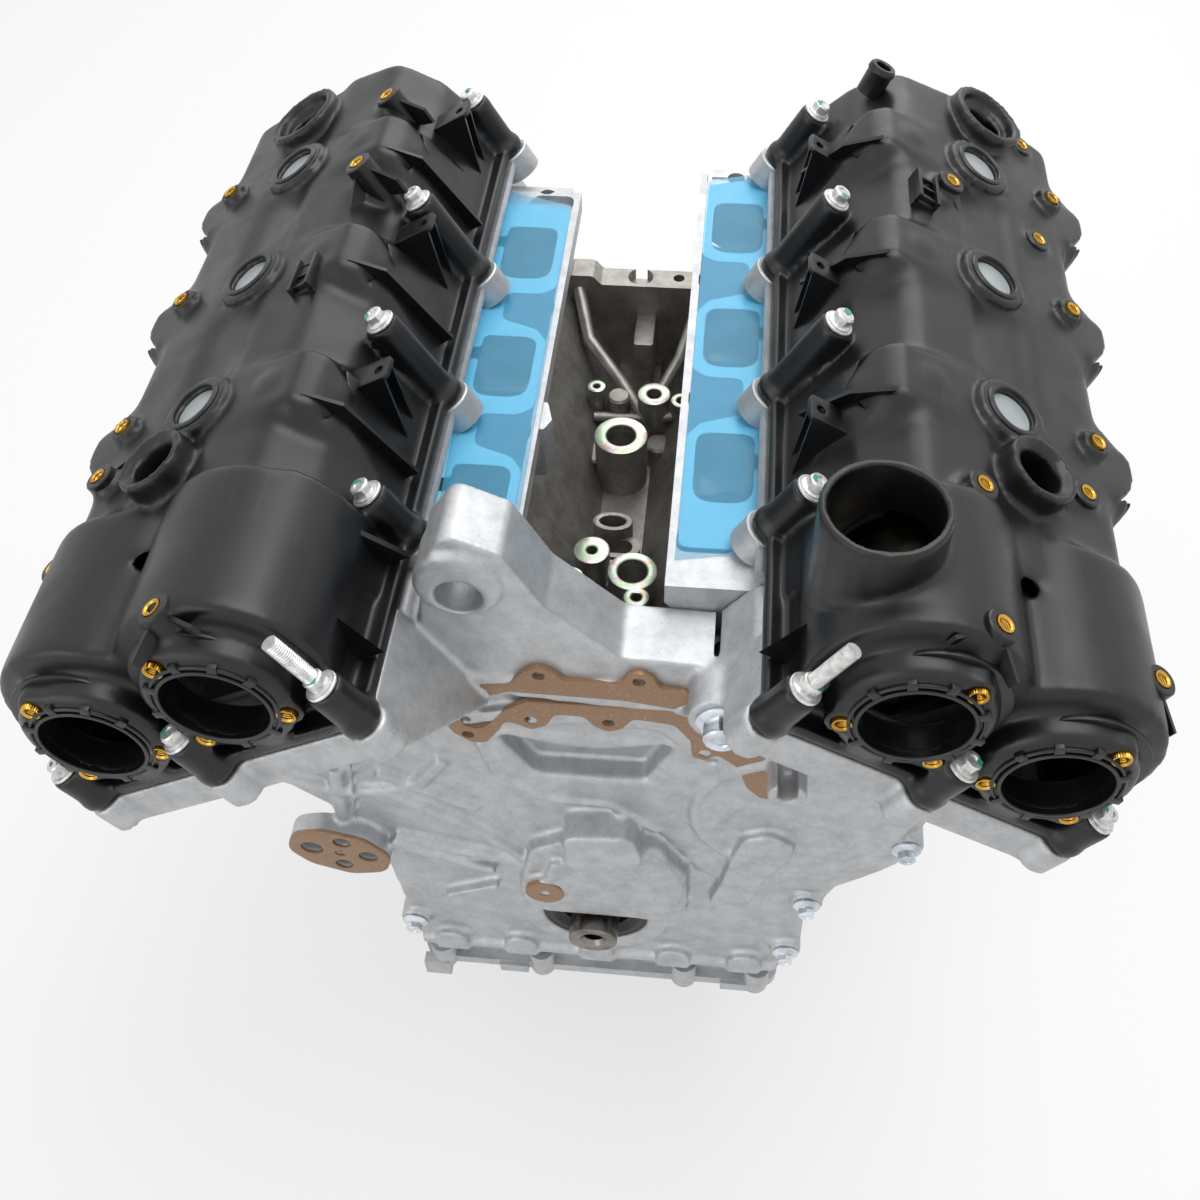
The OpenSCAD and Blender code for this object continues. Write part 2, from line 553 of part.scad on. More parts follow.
module cylinder_head(side) {
    y0 = head_front(side);
    y1 = head_rear(side);
    color(alloy) difference() {
        union() {
            bank(side) {
                head_side(side, y0, y1);
                for (k = [0:3]) for (b = [inner_bolts(side)[k]])
                    translate([bolt_v - 0.5, y_first(side) + b[0], rail_u - 11]) cylinder(h = 10, r = min(11, y_first(side) + b[0] - y_front - 0.1));
                for (b = outer_bolts) translate([outer_bolt_v + 1, y_first(side) + b[0], rail_u - 40])
                    cylinder(h = 39, r = min(10, y_first(side) + b[0] - y_front - 0.1));
                block_of([head_out - 1, y_mid(side) - 44, 238], [head_out + 14, y_mid(side) + 44, 292]);
            }
            intake_flange(side);
            scale_x(side) block_of([intake_x - 20, y_last(side) + 50, intake_z - 22],
                [intake_x + 24, y_last(side) + 70, intake_z - 4]);
        }
        intake_cuts(side);
        scale_x(side) translate([intake_x - 4, y_last(side) + 62, intake_z - 30]) cylinder(h = 40, r = 5.5);
        bank(side) {
            plate_y(y0 - 1, y1 - 6) polygon([
                [7 - head_in, rail_floor], [rail_out - rail_w, rail_floor], [rail_out - rail_w, rail_u + 1],
                [rail_w - rail_in, rail_u + 1], [rail_w - rail_in, rail_u - 3], [7 - head_in, rail_u - 13]]);
            for (i = [0:2]) {
                yc = y_cyl(side, i);
                translate([0, yc, head_bottom - 0.01]) cylinder(h = 8, r1 = bore / 2 - 3, r2 = 30);
                translate([1, yc, head_bottom]) cylinder(h = 30, r = 6, $fn = 24);
                translate([1, yc, head_bottom + 22]) cylinder(h = 60, r = 11.5);
                translate([1, yc, rail_floor - 6]) cylinder(h = 7, r = tube_out_r + run_fit);
                for (d = [-1, 1]) for (ex = [false, true]) {
                    a = [seat_v(ex), yc + d * valve_pair, valve_seat_u];
                    b = [tip_v(ex), yc + d * valve_pair, valve_tip_u];
                    rod_between(a + (a - b) * 0.12, b, 3.3);
                    rod_between(a + (a - b) * 0.05, a + (b - a) * 0.12, ex ? 15 : 17);
                }
                rod_between([seat_v(true), yc, 248], [head_out - 16, yc, 262], 12);
            }
            translate([head_out - 16, 0, 262]) along_y(y_first(side) - 16, y_last(side) + 16, 14);
            translate([head_out - 16, y_mid(side), 262]) rotate([0, 90, 0]) cylinder(h = 40, r = 21);
            for (dy = [-34, 34]) for (dz = [-19, 19]) translate([head_out + 2, y_mid(side) + dy, 265 + dz])
                rotate([0, 90, 0]) cylinder(h = 20, r = 3.4, $fn = 24);
            for (i = [0:3]) for (dv = [-1, 1])
                translate([dv * head_bolt_v, y_first(side) - bore_pitch / 2 + i * bore_pitch - (i == 3 ? 3 : 0), head_bottom - 1])
                    cylinder(h = 90, r = head_bolt_r, $fn = 24);
            for (b = inner_bolts(side)) translate([bolt_v, y_first(side) + b[0], rail_u - 12]) cylinder(h = 13, r = bolt_r, $fn = 24);
            for (b = outer_bolts) translate([outer_bolt_v, y_first(side) + b[0], rail_u - 26]) cylinder(h = 27, r = bolt_r, $fn = 24);
        }
        scale_x(side) for (i = [0:2]) {
            y = y_cyl(side, i) + port_shift(side);
            a = [intake_x - 2, y, intake_z - 26];
            v = seat_v(false);
            b = [valve_seat_u * sin(half_bank) + v * cos(half_bank), y_cyl(side, i), valve_seat_u * cos(half_bank) - v * sin(half_bank) + 6];
            rod_between(a, b, 15);
        }
    }
    cam_towers(side);
}
module tower_y(side, i) {
    translate([0, y_first(side) + (i == 0 ? -tower_off : (i - 1) * bore_pitch + tower_off), 0]) children();
}
tower_w = 13;
tower_off = 36.7;
module cam_towers(side) color(alloy) bank(side) for (i = [0:3]) tower_y(side, i)
    for (ex = [false, true]) difference() {
        block_of([cam_v(ex) - 19, -tower_w / 2, rail_floor - 1], [cam_v(ex) + 19, tower_w / 2, cam_u - 0.1]);
        translate([cam_v(ex), 0, cam_u]) along_y(-20, 20, cam_journal_r + run_fit);
        for (s = [-1, 1]) translate([cam_v(ex) + s * 16, 0, cam_u - 20]) cylinder(h = 21, r = 2.6, $fn = 16);
    }
module cam_bearing_caps() color(alloy) for (side = [-1, 1]) bank(side) for (i = [0:3]) tower_y(side, i)
    for (ex = [false, true]) translate([cam_v(ex), 0, cam_u]) difference() {
        union() {
            plate_y(-tower_w / 2, tower_w / 2)
                polygon(rounded([[-20, 0], [20, 0], [20, 8], [12, 20], [-12, 20], [-20, 8]], [0, 0, 3, 5, 5, 3]));
            for (s = [-1, 1]) translate([s * 16, 0, -18]) cylinder(h = 30, r = 2.5, $fn = 16);
            for (s = [-1, 1]) translate([s * 16, 0, 12]) cylinder(h = 5, r = 4.6, $fn = 6);
        }
        along_y(-20, 20, cam_journal_r + run_fit);
    }
module head_gaskets() color([0.35, 0.35, 0.37]) for (side = [-1, 1]) bank(side) difference() {
    block_of([-slab_in, head_front(side), deck_height], [slab_out, min(head_rear(side), y_rear), head_bottom]);
    for (i = [0:2]) translate([0, y_cyl(side, i), deck_height - 1]) cylinder(h = 4, r = bore / 2 + 0.6);
    for (i = [0:3]) for (dv = [-1, 1])
        translate([dv * head_bolt_v, y_first(side) - bore_pitch / 2 + i * bore_pitch - (i == 3 ? 3 : 0), deck_height - 1])
            cylinder(h = 4, r = head_bolt_r, $fn = 24);
}
module head_bolts() color(steel) for (side = [-1, 1]) bank(side)
    for (i = [0:3]) for (dv = [-1, 1])
        translate([dv * head_bolt_v, y_first(side) - bore_pitch / 2 + i * bore_pitch - (i == 3 ? 3 : 0), deck_height - 62])
            hex_bolt(5.1, rail_floor - deck_height + 62, 6.5, 6, 0, 0);

// Valve train
function cycle_mod(k) = cycle_of(k) % 720;
function is_open(k, ex) = abs(cycle_mod(k) - (ex ? exhaust_peak : intake_peak)) < 1;
module on_stem(a, b, up = 0) {
    translate(a + unit(b - a) * up)
        rotate([0, acos((b - a)[2] / norm(b - a)) * sign((b - a)[0]), 0]) children();
}
module valve(k, ex) {
    a = [seat_v(ex), 0, valve_seat_u];
    b = [tip_v(ex), 0, valve_tip_u];
    l = norm(b - a);
    head_r = ex ? 13.5 : 15.5;
    keep_r = spring_r - 1.2;
    drop = is_open(k, ex) ? 2 * lobe_lift : 0;
    bank(side_of(k)) for (d = [-1, 1]) translate([0, pin_y(k) + d * valve_pair, 0]) on_stem(a, b, -drop)
        rotate_extrude($fn = 32) polygon([
            [0, -1], [head_r, -1], [head_r, 1], [head_r / 2, 4], [3, 10], [3, l - 6], [keep_r, l - 6],
            [keep_r, l - 3], [3, l - 3], [3, l], [0, l]]);
}
module intake_valves() color(steel) for (k = [1:6]) valve(k, false);
module exhaust_valves() color([0.5, 0.47, 0.44]) for (k = [1:6]) valve(k, true);
module valve_springs() color([0.4, 0.42, 0.45]) for (k = [1:6]) for (ex = [false, true]) {
    drop = is_open(k, ex) ? 2 * lobe_lift : 0;
    a = [seat_v(ex), 0, valve_seat_u];
    b = [tip_v(ex), 0, valve_tip_u];
    foot = norm(b - a) * (rail_floor - valve_seat_u) / (valve_tip_u - valve_seat_u) + 4;
    l = norm(b - a) - foot - 6.3 - drop;
    bank(side_of(k)) for (d = [-1, 1]) translate([0, pin_y(k) + d * valve_pair, 0]) on_stem(a, b, foot)
        rotate_extrude($fn = 24)
            polygon(concat(
                [for (i = [0:10]) [spring_r - (1 - i % 2) * 1.4, l * i / 10]],
                [for (i = [10:-1:0]) [spring_r - 2.4 - (1 - i % 2) * 1.4, l * i / 10]]));
}
module roller_fingers() color(steel) for (k = [1:6]) for (ex = [false, true]) {
    tilt = is_open(k, ex) ? atan(lobe_lift / finger_reach) : 0;
    s = sign(tip_v(ex) - hla_v(ex));
    bank(side_of(k)) for (d = [-1, 1])
        translate([hla_v(ex), pin_y(k) + d * valve_pair, valve_tip_u + finger_gap]) rotate([0, s * tilt, 0]) {
            translate([s > 0 ? -4 : -2 * finger_reach - 3, -5, 0]) cube([2 * finger_reach + 7, 10, 3.5]);
            translate([s * finger_reach, 0, cam_u - lobe_base - valve_tip_u - finger_gap - 8.3])
                along_y(-4, 4, 8);
        }
}
module lash_adjusters() color(steel) for (k = [1:6]) for (ex = [false, true])
    bank(side_of(k)) for (d = [-1, 1]) translate([hla_v(ex), pin_y(k) + d * valve_pair, rail_floor])
        cylinder(h = valve_tip_u - rail_floor - 0.6, r = 5, $fn = 24);

module lobe(angle) {
    nose_r = 8;
    d = lobe_base + lobe_lift - nose_r;
    t = acos((lobe_base - nose_r) / d);
    rotate(-angle) union() {
        circle(r = lobe_base);
        translate([0, d]) circle(r = nose_r);
        polygon([
            lobe_base * [-sin(t), cos(t)], [0, d] + nose_r * [-sin(t), cos(t)],
            [0, d] + nose_r * [sin(t), cos(t)], lobe_base * [sin(t), cos(t)]]);
    }
}
function cyls(side) = side < 0 ? [1, 3, 5] : [2, 4, 6];
module camshaft(side, ex) color([0.55, 0.55, 0.57]) bank(side) translate([cam_v(ex), 0, cam_u]) {
    peak = ex ? exhaust_peak : intake_peak;
    along_y(y_chain(side) - 26, head_rear(side) - 14, 10.5);
    for (i = [0:3]) tower_y(side, i) along_y(-tower_w / 2 - 1, tower_w / 2 + 1, cam_journal_r);
    for (k = cyls(side)) for (d = [-1, 1])
        translate([0, pin_y(k) + d * valve_pair, 0]) plate_y(-6, 6) lobe(180 + side * (cycle_mod(k) - peak) / 2);
    along_y(y_chain(side) + 5, y_chain(side) + 8, 15);
}

phaser_r = 34;
phaser_l = 48;
module phaser(side, ex) color([0.5, 0.5, 0.53]) bank(side) translate([cam_v(ex), 0, cam_u]) difference() {
    union() {
        plate_y(y_chain(side) - sprocket_w / 2, y_chain(side) + sprocket_w / 2) sprocket(phaser_teeth, 0);
        along_y(y_chain(side) - phaser_l, y_chain(side) - chain_half - 0.5, phaser_r);
        along_y(y_chain(side) - chain_half - 0.5, y_chain(side), 27);
        along_y(y_chain(side) - phaser_l - 9, y_chain(side) - phaser_l, 11);
    }
    along_y(y_chain(side) - 26.5, y_chain(side) + 10, 10.52);
    along_y(y_chain(side) - phaser_l - 10, y_chain(side) - phaser_l + 5, 6);
    for (a = [0:60:300]) rotate([0, a, 0]) translate([0, y_chain(side) - phaser_l - 1, 25])
        along_y(0, 4, 3.5);
}

// Chains: a belt round three or two circles, with a scalloped back
function tangent_pts(a, ra, b, rb) =
    let (d = b - a, l = norm(d), base = atan2(d[1], d[0]), t = acos((ra - rb) / l))
    [a + ra * [cos(base - t), sin(base - t)], b + rb * [cos(base - t), sin(base - t)]];
function belt_arc(c, r, a0, a1) =
    let (da = a1 < a0 ? a1 + 360 - a0 : a1 - a0, n = max(2, ceil(da / 9)))
    [for (i = [0:n]) c + r * [cos(a0 + da * i / n), sin(a0 + da * i / n)]];
function belt(cs, rs) =
    let (m = len(cs))
    [for (i = [0:m - 1])
        let (p = (i + m - 1) % m, q = (i + 1) % m)
        let (s = tangent_pts(cs[p], rs[p], cs[i], rs[i])[1] - cs[i])
        let (e = tangent_pts(cs[i], rs[i], cs[q], rs[q])[0] - cs[i])
        each belt_arc(cs[i], rs[i], atan2(s[1], s[0]), atan2(e[1], e[0]))];
module chain(cs, teeth, y) {
    rs = [for (t = teeth) sprocket_r(t)];
    difference() {
        plate_y(y - chain_half, y + chain_half) difference() {
            polygon(belt(cs, [for (r = rs) r + chain_back]));
            polygon(belt(cs, [for (r = rs) r + chain_back - chain_t]));
        }
        plate_y(y - chain_half + chain_plate, y + chain_half - chain_plate) difference() {
            polygon(belt(cs, [for (r = rs) r + tooth_h + seat_gap]));
            polygon(belt(cs, [for (r = rs) r + chain_back - chain_t - 1]));
        }
    }
}
idler_c = [0, idler_z];
module primary_chain() color([0.45, 0.43, 0.4])
    chain([[0, 0], idler_c], [crank_teeth, idler_teeth], y_primary);
module left_cam_chain() color([0.45, 0.43, 0.4])
    chain([idler_c, cam_xz(-1, false), cam_xz(-1, true)], [idler_cam_teeth, phaser_teeth, phaser_teeth], y_left_chain);
module right_cam_chain() color([0.45, 0.43, 0.4])
    chain([idler_c, cam_xz(1, true), cam_xz(1, false)], [idler_cam_teeth, phaser_teeth, phaser_teeth], y_right_chain);
module timing_idler() color(steel) translate([0, 0, idler_z]) difference() {
    union() {
        plate_y(y_primary - sprocket_w / 2, y_primary + sprocket_w / 2) sprocket(idler_teeth, 0);
        plate_y(y_left_chain - sprocket_w / 2, y_left_chain + sprocket_w / 2) sprocket(idler_cam_teeth, 0);
        plate_y(y_right_chain - sprocket_w / 2, y_right_chain + sprocket_w / 2) sprocket(idler_cam_teeth, 0);
        along_y(y_primary, y_right_chain, 16);
    }
    along_y(y_primary - 5, y_front, 9.05);
}
guide_t = 6;
module chain_guides() color([0.15, 0.12, 0.1]) {
    translate([0, 0, idler_z]) along_y(y_primary - 4, y_front, 9);
    translate([0, 0, idler_z]) along_y(y_primary - 7, y_primary - 3.2, 13);
    for (s = [-1, 1]) plate_y(y_primary - 4, y_primary + 4)
        polygon(rounded([[s * 29, 34], [s * 36, 34], [s * 41, 98], [s * 34.4, 98]], 3));
    for (s = [-1, 1]) translate([s * 35, 0, 60]) along_y(y_primary + 3, y_front, 3);
    for (s = [-1, 1]) translate([s * 37, 0, 90]) along_y(y_primary + 3, y_front, 3);
    for (side = [-1, 1]) {
        a = cam_xz(side, false);
        b = idler_c;
        dir = unit(a - b);
        n = side * [-dir[1], dir[0]];
        off = sprocket_r(phaser_teeth) + chain_back - 0.6;
        mid = (a + b) / 2;
        y = y_chain(side);
        plate_y(y - 4, y + 4) polygon(rounded(side > 0
            ? [mid - 50 * dir + n * off, mid + 12 * dir + n * off, mid + 12 * dir + n * (off + guide_t), mid - 50 * dir + n * (off + guide_t)]
            : [mid - 50 * dir + n * (off + guide_t), mid + 12 * dir + n * (off + guide_t), mid + 12 * dir + n * off, mid - 50 * dir + n * off], 2));
        for (e = [-44, 6]) translate([(mid + e * dir + n * (off + 3))[0], 0, (mid + e * dir + n * (off + 3))[1]])
            along_y(y + 3, y_front, 2.5);
    }
}

module oil_pump() color(alloy) difference() {
    plate_y(y_front - 15, y_front)
        polygon(rounded([[-52, -40], [52, -40], [58, 0], [38, 42], [-38, 42], [-58, 0]], 14));
    along_y(y_front - 16, y_front + 1, 18.3);
    difference() {
        along_y(y_front - 15.5, y_front - 6, 40);
        for (a = [0:45:315]) rotate([0, a, 0]) translate([0, 0, 33]) along_y(y_front - 16, y_front, 5.5);
        along_y(y_front - 16, y_front, 27);
    }
}
pickup_top = 68;
module oil_pickup() color(steel) {
    translate([0, -120, -pan_bottom + 10]) cylinder(h = 12, r = 34);
    translate([0, -120, -pan_bottom + 20]) cylinder(h = pan_bottom - 20 - pickup_top, r = 9);
    block_of([-9, -146, -pickup_top - 6], [9, -127, 8 - pickup_top]);
}

// Front cover: one casting, forward steps under both cam covers
face_out = [
    [-122, -pan_rail + 3], [122, -pan_rail + 3], [136, -40], [134, 20],
    [150, 66], [182, 100], [190, 150], [214, 176], [238, 222], [86, 310], [66, 284], [20, 286],
    [-16, 322], [-34, 358], [-60, 370], [-74, 348], [-78, 300], [-88, 308], [-238, 222], [-206, 166], [-156, 118],
    [-132, 60], [-128, 10]];
chain_room = [
    [-104, -40], [104, -40], [112, 40], [140, 90], [172, 150], [214, 210],
    [200, 232], [98, 300], [78, 293], [47, 270], [10, 226], [-10, 226], [-47, 270], [-78, 293], [-98, 300],
    [-200, 232], [-214, 210], [-172, 150], [-120, 60]];
module forward_step(side, grow) {
    yf = cover_front(side) + 4 + grow;
    bank(side) plate_x(-rail_in + 4 + grow, rail_out - 4 - grow)
        polygon([
            [y_face + 1, rail_u - 1 + grow], [y_face + 1, 232 + 2 * grow], [yf + 26, 272 + grow],
            [yf, 296], [yf, rail_u - 1 + grow]]);
    if (grow == 0) bank(side) for (p = [stud_at(side), mid_at(side), out_at(side)])
        translate([p[0], p[1], rail_u - 20]) cylinder(h = 19, r = boss_r + 1);
}
ear_hole = [-56, 330];
big_bolts = [[-84, 272, 15], [71, 270, 15]];
face_bolts = [
    [-122, -20], [-196, 172], [126, -22], [182, 128], [202, 172], [133, 48]];
module front_cover() color([0.77, 0.78, 0.79]) difference() {
    union() {
        plate_y(y_face, y_front) polygon(rounded(face_out, 7));
        intersection() {
            for (side = [-1, 1]) forward_step(side, 0);
            block_of([-260, y_face - 80, 100], [260, y_front, 330]);
        }
        plate_y(y_face - 3, y_face) polygon(rounded(coolant_outer, 9));
        plate_y(y_face - 14, y_face) polygon(rounded(pad_outer, 16));
        translate([-28, 0, 62]) along_y(y_face - 18, y_face, 12);
        along_y(y_face - 2, y_face, 47);
        plate_y(y_face - 11, y_face) polygon(rounded(pump_drum, 12));
        translate([ear_hole[0], 0, ear_hole[1] + 8]) along_y(y_face - 4, y_face + 20, 21);
        for (b = big_bolts) translate([b[0], 0, b[1]]) along_y(y_face - 22, y_face, b[2] + 2);
        translate([108, 0, 206]) along_y(y_face - 24, y_face, 10.5);
        for (x = [-100, -52, 0, 52, 100]) translate([x, 0, -46]) along_y(y_face - 7, y_face, 11);
        for (x = [-100, -52, 0, 52, 100]) block_of([x - 11, y_face - 7, -pan_rail + 3], [x + 11, y_face, -46]);
        plate_y(y_face - 4, y_face) polygon([[-122, -pan_rail + 3], [122, -pan_rail + 3], [122, -52], [-122, -52]]);
        translate([119, 0, 149]) along_y(y_face - 3, y_face, 62);
        for (b = face_bolts) translate([b[0], 0, b[1]]) along_y(y_face - 5, y_front, 10);
        for (b = rib_list) plate_y(y_face - 8, y_face) polygon([b[0], b[1], b[1] + [0, 6], b[0] + [0, 6]]);
    }
    difference() {
        plate_y(y_face + front_wall, y_front + 1) polygon(rounded(chain_room, 8));
        plate_y(y_face, y_face + mouth_depth + 3) polygon(rounded(mouth_wall, 6));
    }
    for (b = big_bolts) translate([b[0], 0, b[1]]) along_y(y_face - 90, y_face - 22, 15.5);
    for (b = face_bolts) translate([b[0], 0, b[1]]) along_y(y_face - 90, y_face - 5, 10);
    intersection() {
        for (side = [-1, 1]) forward_step(side, front_wall);
        block_of([-260, y_face - 80, 100], [260, y_front, 340]);
    }
    for (side = [-1, 1]) bank(side)
        block_of([-rail_in + 12, cover_front(side) + 14, 292], [rail_out - 12, y_front + 1, rail_u + 20]);
    along_y(y_face - 5, y_face + 12, seal_d / 2 + 0.02);
    along_y(y_face - 5, y_front + 1, 27);
    plate_y(y_face - 4, y_face + 3) polygon(rounded(coolant_channel, 6));
    plate_y(y_face - 4, y_face + mouth_depth) polygon(rounded(coolant_mouth, 4));
    translate([119, 0, 149]) along_y(y_face - 4, y_face - 1, 50);
    translate([119, 0, 149]) intersection() {
        along_y(y_face - 4, y_face + 3.4, 34);
        block_of([-40, y_face - 5, -60], [4, y_face + 5, 60]);
    }
    for (h = coolant_holes) translate([h[0], 0, h[1]]) along_y(y_face - 4, y_face + 3.6, 3.3);
    for (h = pad_holes) translate([h[0], 0, h[1]]) along_y(y_face - 15, y_face - 2, h[2]);
    translate([-28, 0, 62]) along_y(y_face - 19, y_face - 2, 3.4);
    translate([108, 0, 206]) along_y(y_face - 25, y_face - 2, 5);
    translate([108, 0, 206]) block_of([-5, y_face - 25, 0], [5, y_face - 2, 20]);
    translate([ear_hole[0], 0, ear_hole[1]]) along_y(y_face - 6, y_front + 1, 11.5);
    for (b = big_bolts) translate([b[0], 0, b[1]]) along_y(y_face - 23, y_face + 3, 6.3);
    for (b = face_bolts) translate([b[0], 0, b[1]]) along_y(y_face - 6, y_front + 1, 3.4);
}
coolant_outer = [
    [-82, 250], [-78, 232], [-70, 218], [-52, 226], [-20, 226], [0, 230], [40, 228], [58, 206], [84, 186],
    [98, 168], [118, 166], [136, 186], [160, 190], [160, 206], [130, 216], [120, 244], [60, 252], [30, 258],
    [16, 268], [-8, 262], [-58, 266], [-72, 268]];
coolant_channel = [
    [-62, 244], [-56, 232], [-40, 238], [20, 240], [60, 232], [84, 208], [92, 212], [92, 232], [50, 244], [-40, 252]];
coolant_mouth = [[-30, 174], [32, 175], [46, 206], [44, 214], [10, 204], [-12, 204], [-44, 212], [-47, 206]];
mouth_depth = 13;
mouth_wall = [[-36, 171], [38, 171], [50, 206], [48, 218], [-48, 216], [-51, 206]];
coolant_holes = [[-70, 254], [-64, 226], [-20, 262], [14, 262], [-32, 231], [13, 232], [68, 202], [146, 198], [-50, 218], [60, 205]];
pump_drum = [[-46, 50], [-36, 100], [-10, 118], [40, 116], [58, 84], [60, 46], [46, 20], [-40, 22]];
pad_outer = [[-186, 86], [-174, 70], [-150, 60], [-126, 66], [-122, 86], [-136, 104], [-160, 112], [-180, 106]];
pad_holes = [[-170, 90, 7], [-150, 99, 5.5], [-136, 84, 6], [-153, 72, 5.5], [-153, 86, 3.4]];
rib_list = [[[-122, 86], [-60, 60]], [[-140, 112], [-130, 196]], [[20, 40], [60, 30]], [[-96, 20], [-60, 40]]];

module front_cover_bolts() color([0.72, 0.74, 0.78]) {
    for (b = big_bolts) translate([b[0], y_face - 22, b[1]]) rotate([90, 0, 0]) {
        translate([0, 0, -24]) cylinder(h = 24, r = 6, $fn = 32);
        cylinder(h = 3, r = 13, $fn = 40);
        translate([0, 0, 3]) cylinder(h = 9, r = 9.5, $fn = 6);
    }
    for (b = face_bolts) translate([b[0], y_face - 5, b[1]]) rotate([90, 0, 0]) {
        translate([0, 0, -38]) cylinder(h = 38, r = 3.1, $fn = 24);
        cylinder(h = 1.6, r = 8, $fn = 32);
        translate([0, 0, 1.6]) cylinder(h = 5, r = 5.4, $fn = 6);
    }
}

// Cam covers
function cover_section(low) = [
    [rail_out - 12, low], [rail_out - 11, 344], [81, 384], [66, 404], [26, 405], [16, 401], [-6, 401], [-16, 404],
    [-50, 399], [-68, 374], [-76, 344], [-rail_in + 8, low]];
module cover_outline(side) {
    y0 = cover_front(side) + 4;
    y1 = cover_rear(side) - 2;
    translate([0, 0, rail_u]) linear_extrude(cover_flange_t) difference() {
        union() {
        polygon(rounded([[-rail_in + 1, y0], [rail_out - 2, y0], [rail_out - 2, y1], [-rail_in + 1, y1]], [14, 18, 14, 14]));
        for (p = [stud_at(side), mid_at(side), out_at(side)]) translate(p) circle(r = boss_r + 1);
        for (b = inner_bolts(side)) translate([bolt_v, y_first(side) + b[0]]) circle(r = boss_r + 2);
        for (b = outer_bolts) translate([outer_bolt_v, y_first(side) + b[0]]) circle(r = boss_r + 1);
        }
        polygon(rounded([
            [rail_w - rail_in, y0 + 14], [rail_out - 16, y0 + 14], [rail_out - 16, y1 - 8], [rail_w - rail_in, y1 - 8]], 8));
    }
}
function stud_at(side) = [bolt_v + 1, cover_front(side) + 8];
function mid_at(side) = [mid_bolt[0], cover_front(side) + 3];
function out_at(side) = [out_bolt[0], cover_front(side) + 7.5];
module cover_skin(side, wall) {
    yf = cover_front(side) + drum_set + (wall > 0 ? 4 : 0);
    yr = cover_rear(side) - wall;
    ydrum = cover_front(side) + drum_l - wall;
    low = rail_u - (wall > 0 ? 5 : 0);
    plate_y(ydrum - 30, yr) polygon(rounded(inset(cover_section(low), wall), [0, 10, 18, 14, 6, 4, 4, 6, 16, 14, 10, 0]));
    for (ex = [false, true]) intersection() {
        translate([cam_v(ex), 0, cam_u]) along_y(yf, ydrum, drum_r - wall);
        block_of([-200, yf - 5, low], [200, ydrum + 5, 450]);
    }
    block_of([cam_v(false) - drum_r + 8 + wall, yf, low], [cam_v(true) + drum_r - 6 - wall, ydrum, cam_u - 2]);
    block_of([-20, yf, cam_u - 10], [36, ydrum, 392 - wall]);
    for (i = [0:2]) intersection() {
        translate([58, y_cyl(side, i) + edge_insert_y, low]) cylinder(h = 402 - low - wall, r = 30 - wall);
        block_of([0, yf, low], [rail_out - 3 - wall, yr, 420]);
    }
    for (i = [0:2]) translate([dome_v, y_cyl(side, i) + dome_y, dome_u]) sphere(r = dome_r - wall, $fn = 40);
}
module cover_boss(v, y, u_low, u_top, r) {
    translate([v, y, u_low]) cylinder(h = u_top - u_low, r = r, $fn = 32);
}
module cover_solid(side) {
    yf = cover_front(side);
    y0 = y_first(side);
    cover_skin(side, 0);
    for (ex = [false, true]) translate([cam_v(ex), 0, cam_u]) {
        along_y(yf + 2, yf + drum_set + 4, phaser_lip_d / 2 + 6);
        along_y(yf, yf + 3, phaser_lip_d / 2);
        for (a = lip_bolt_angles) rotate([0, a, 0]) translate([0, 0, lip_bolt_r]) along_y(yf + 1, yf + drum_set + 4, 8);
    }
    for (i = [0:2]) {
        cover_boss(1, y_cyl(side, i), 380, well_u, 21);
        cover_boss(edge_insert_v, y_cyl(side, i) + edge_insert_y, 385, edge_insert_u, 9);
    }
    for (p = extra_inserts(side)) cover_boss(p[0], y0 + p[1], p[2] - 34, p[2], 9);
    cover_boss(front_collar[0], y0 + front_collar[1], 385, 416, collar_r);
    cover_boss(rear_collar[0], y0 + rear_collar[1], 385, 412, rear_collar_r);
    for (b = inner_bolts(side)) cover_boss(bolt_v, y0 + b[0], rail_u, b[1], boss_r);
    for (b = outer_bolts) cover_boss(outer_bolt_v, y0 + b[0], rail_u, b[1], boss_r);
    if (side > 0) rotate([0, -half_bank, 0]) translate([filler_x, filler_y, 330])
        cylinder(h = filler_z - 330, r = filler_d / 2, $fn = 64);
}
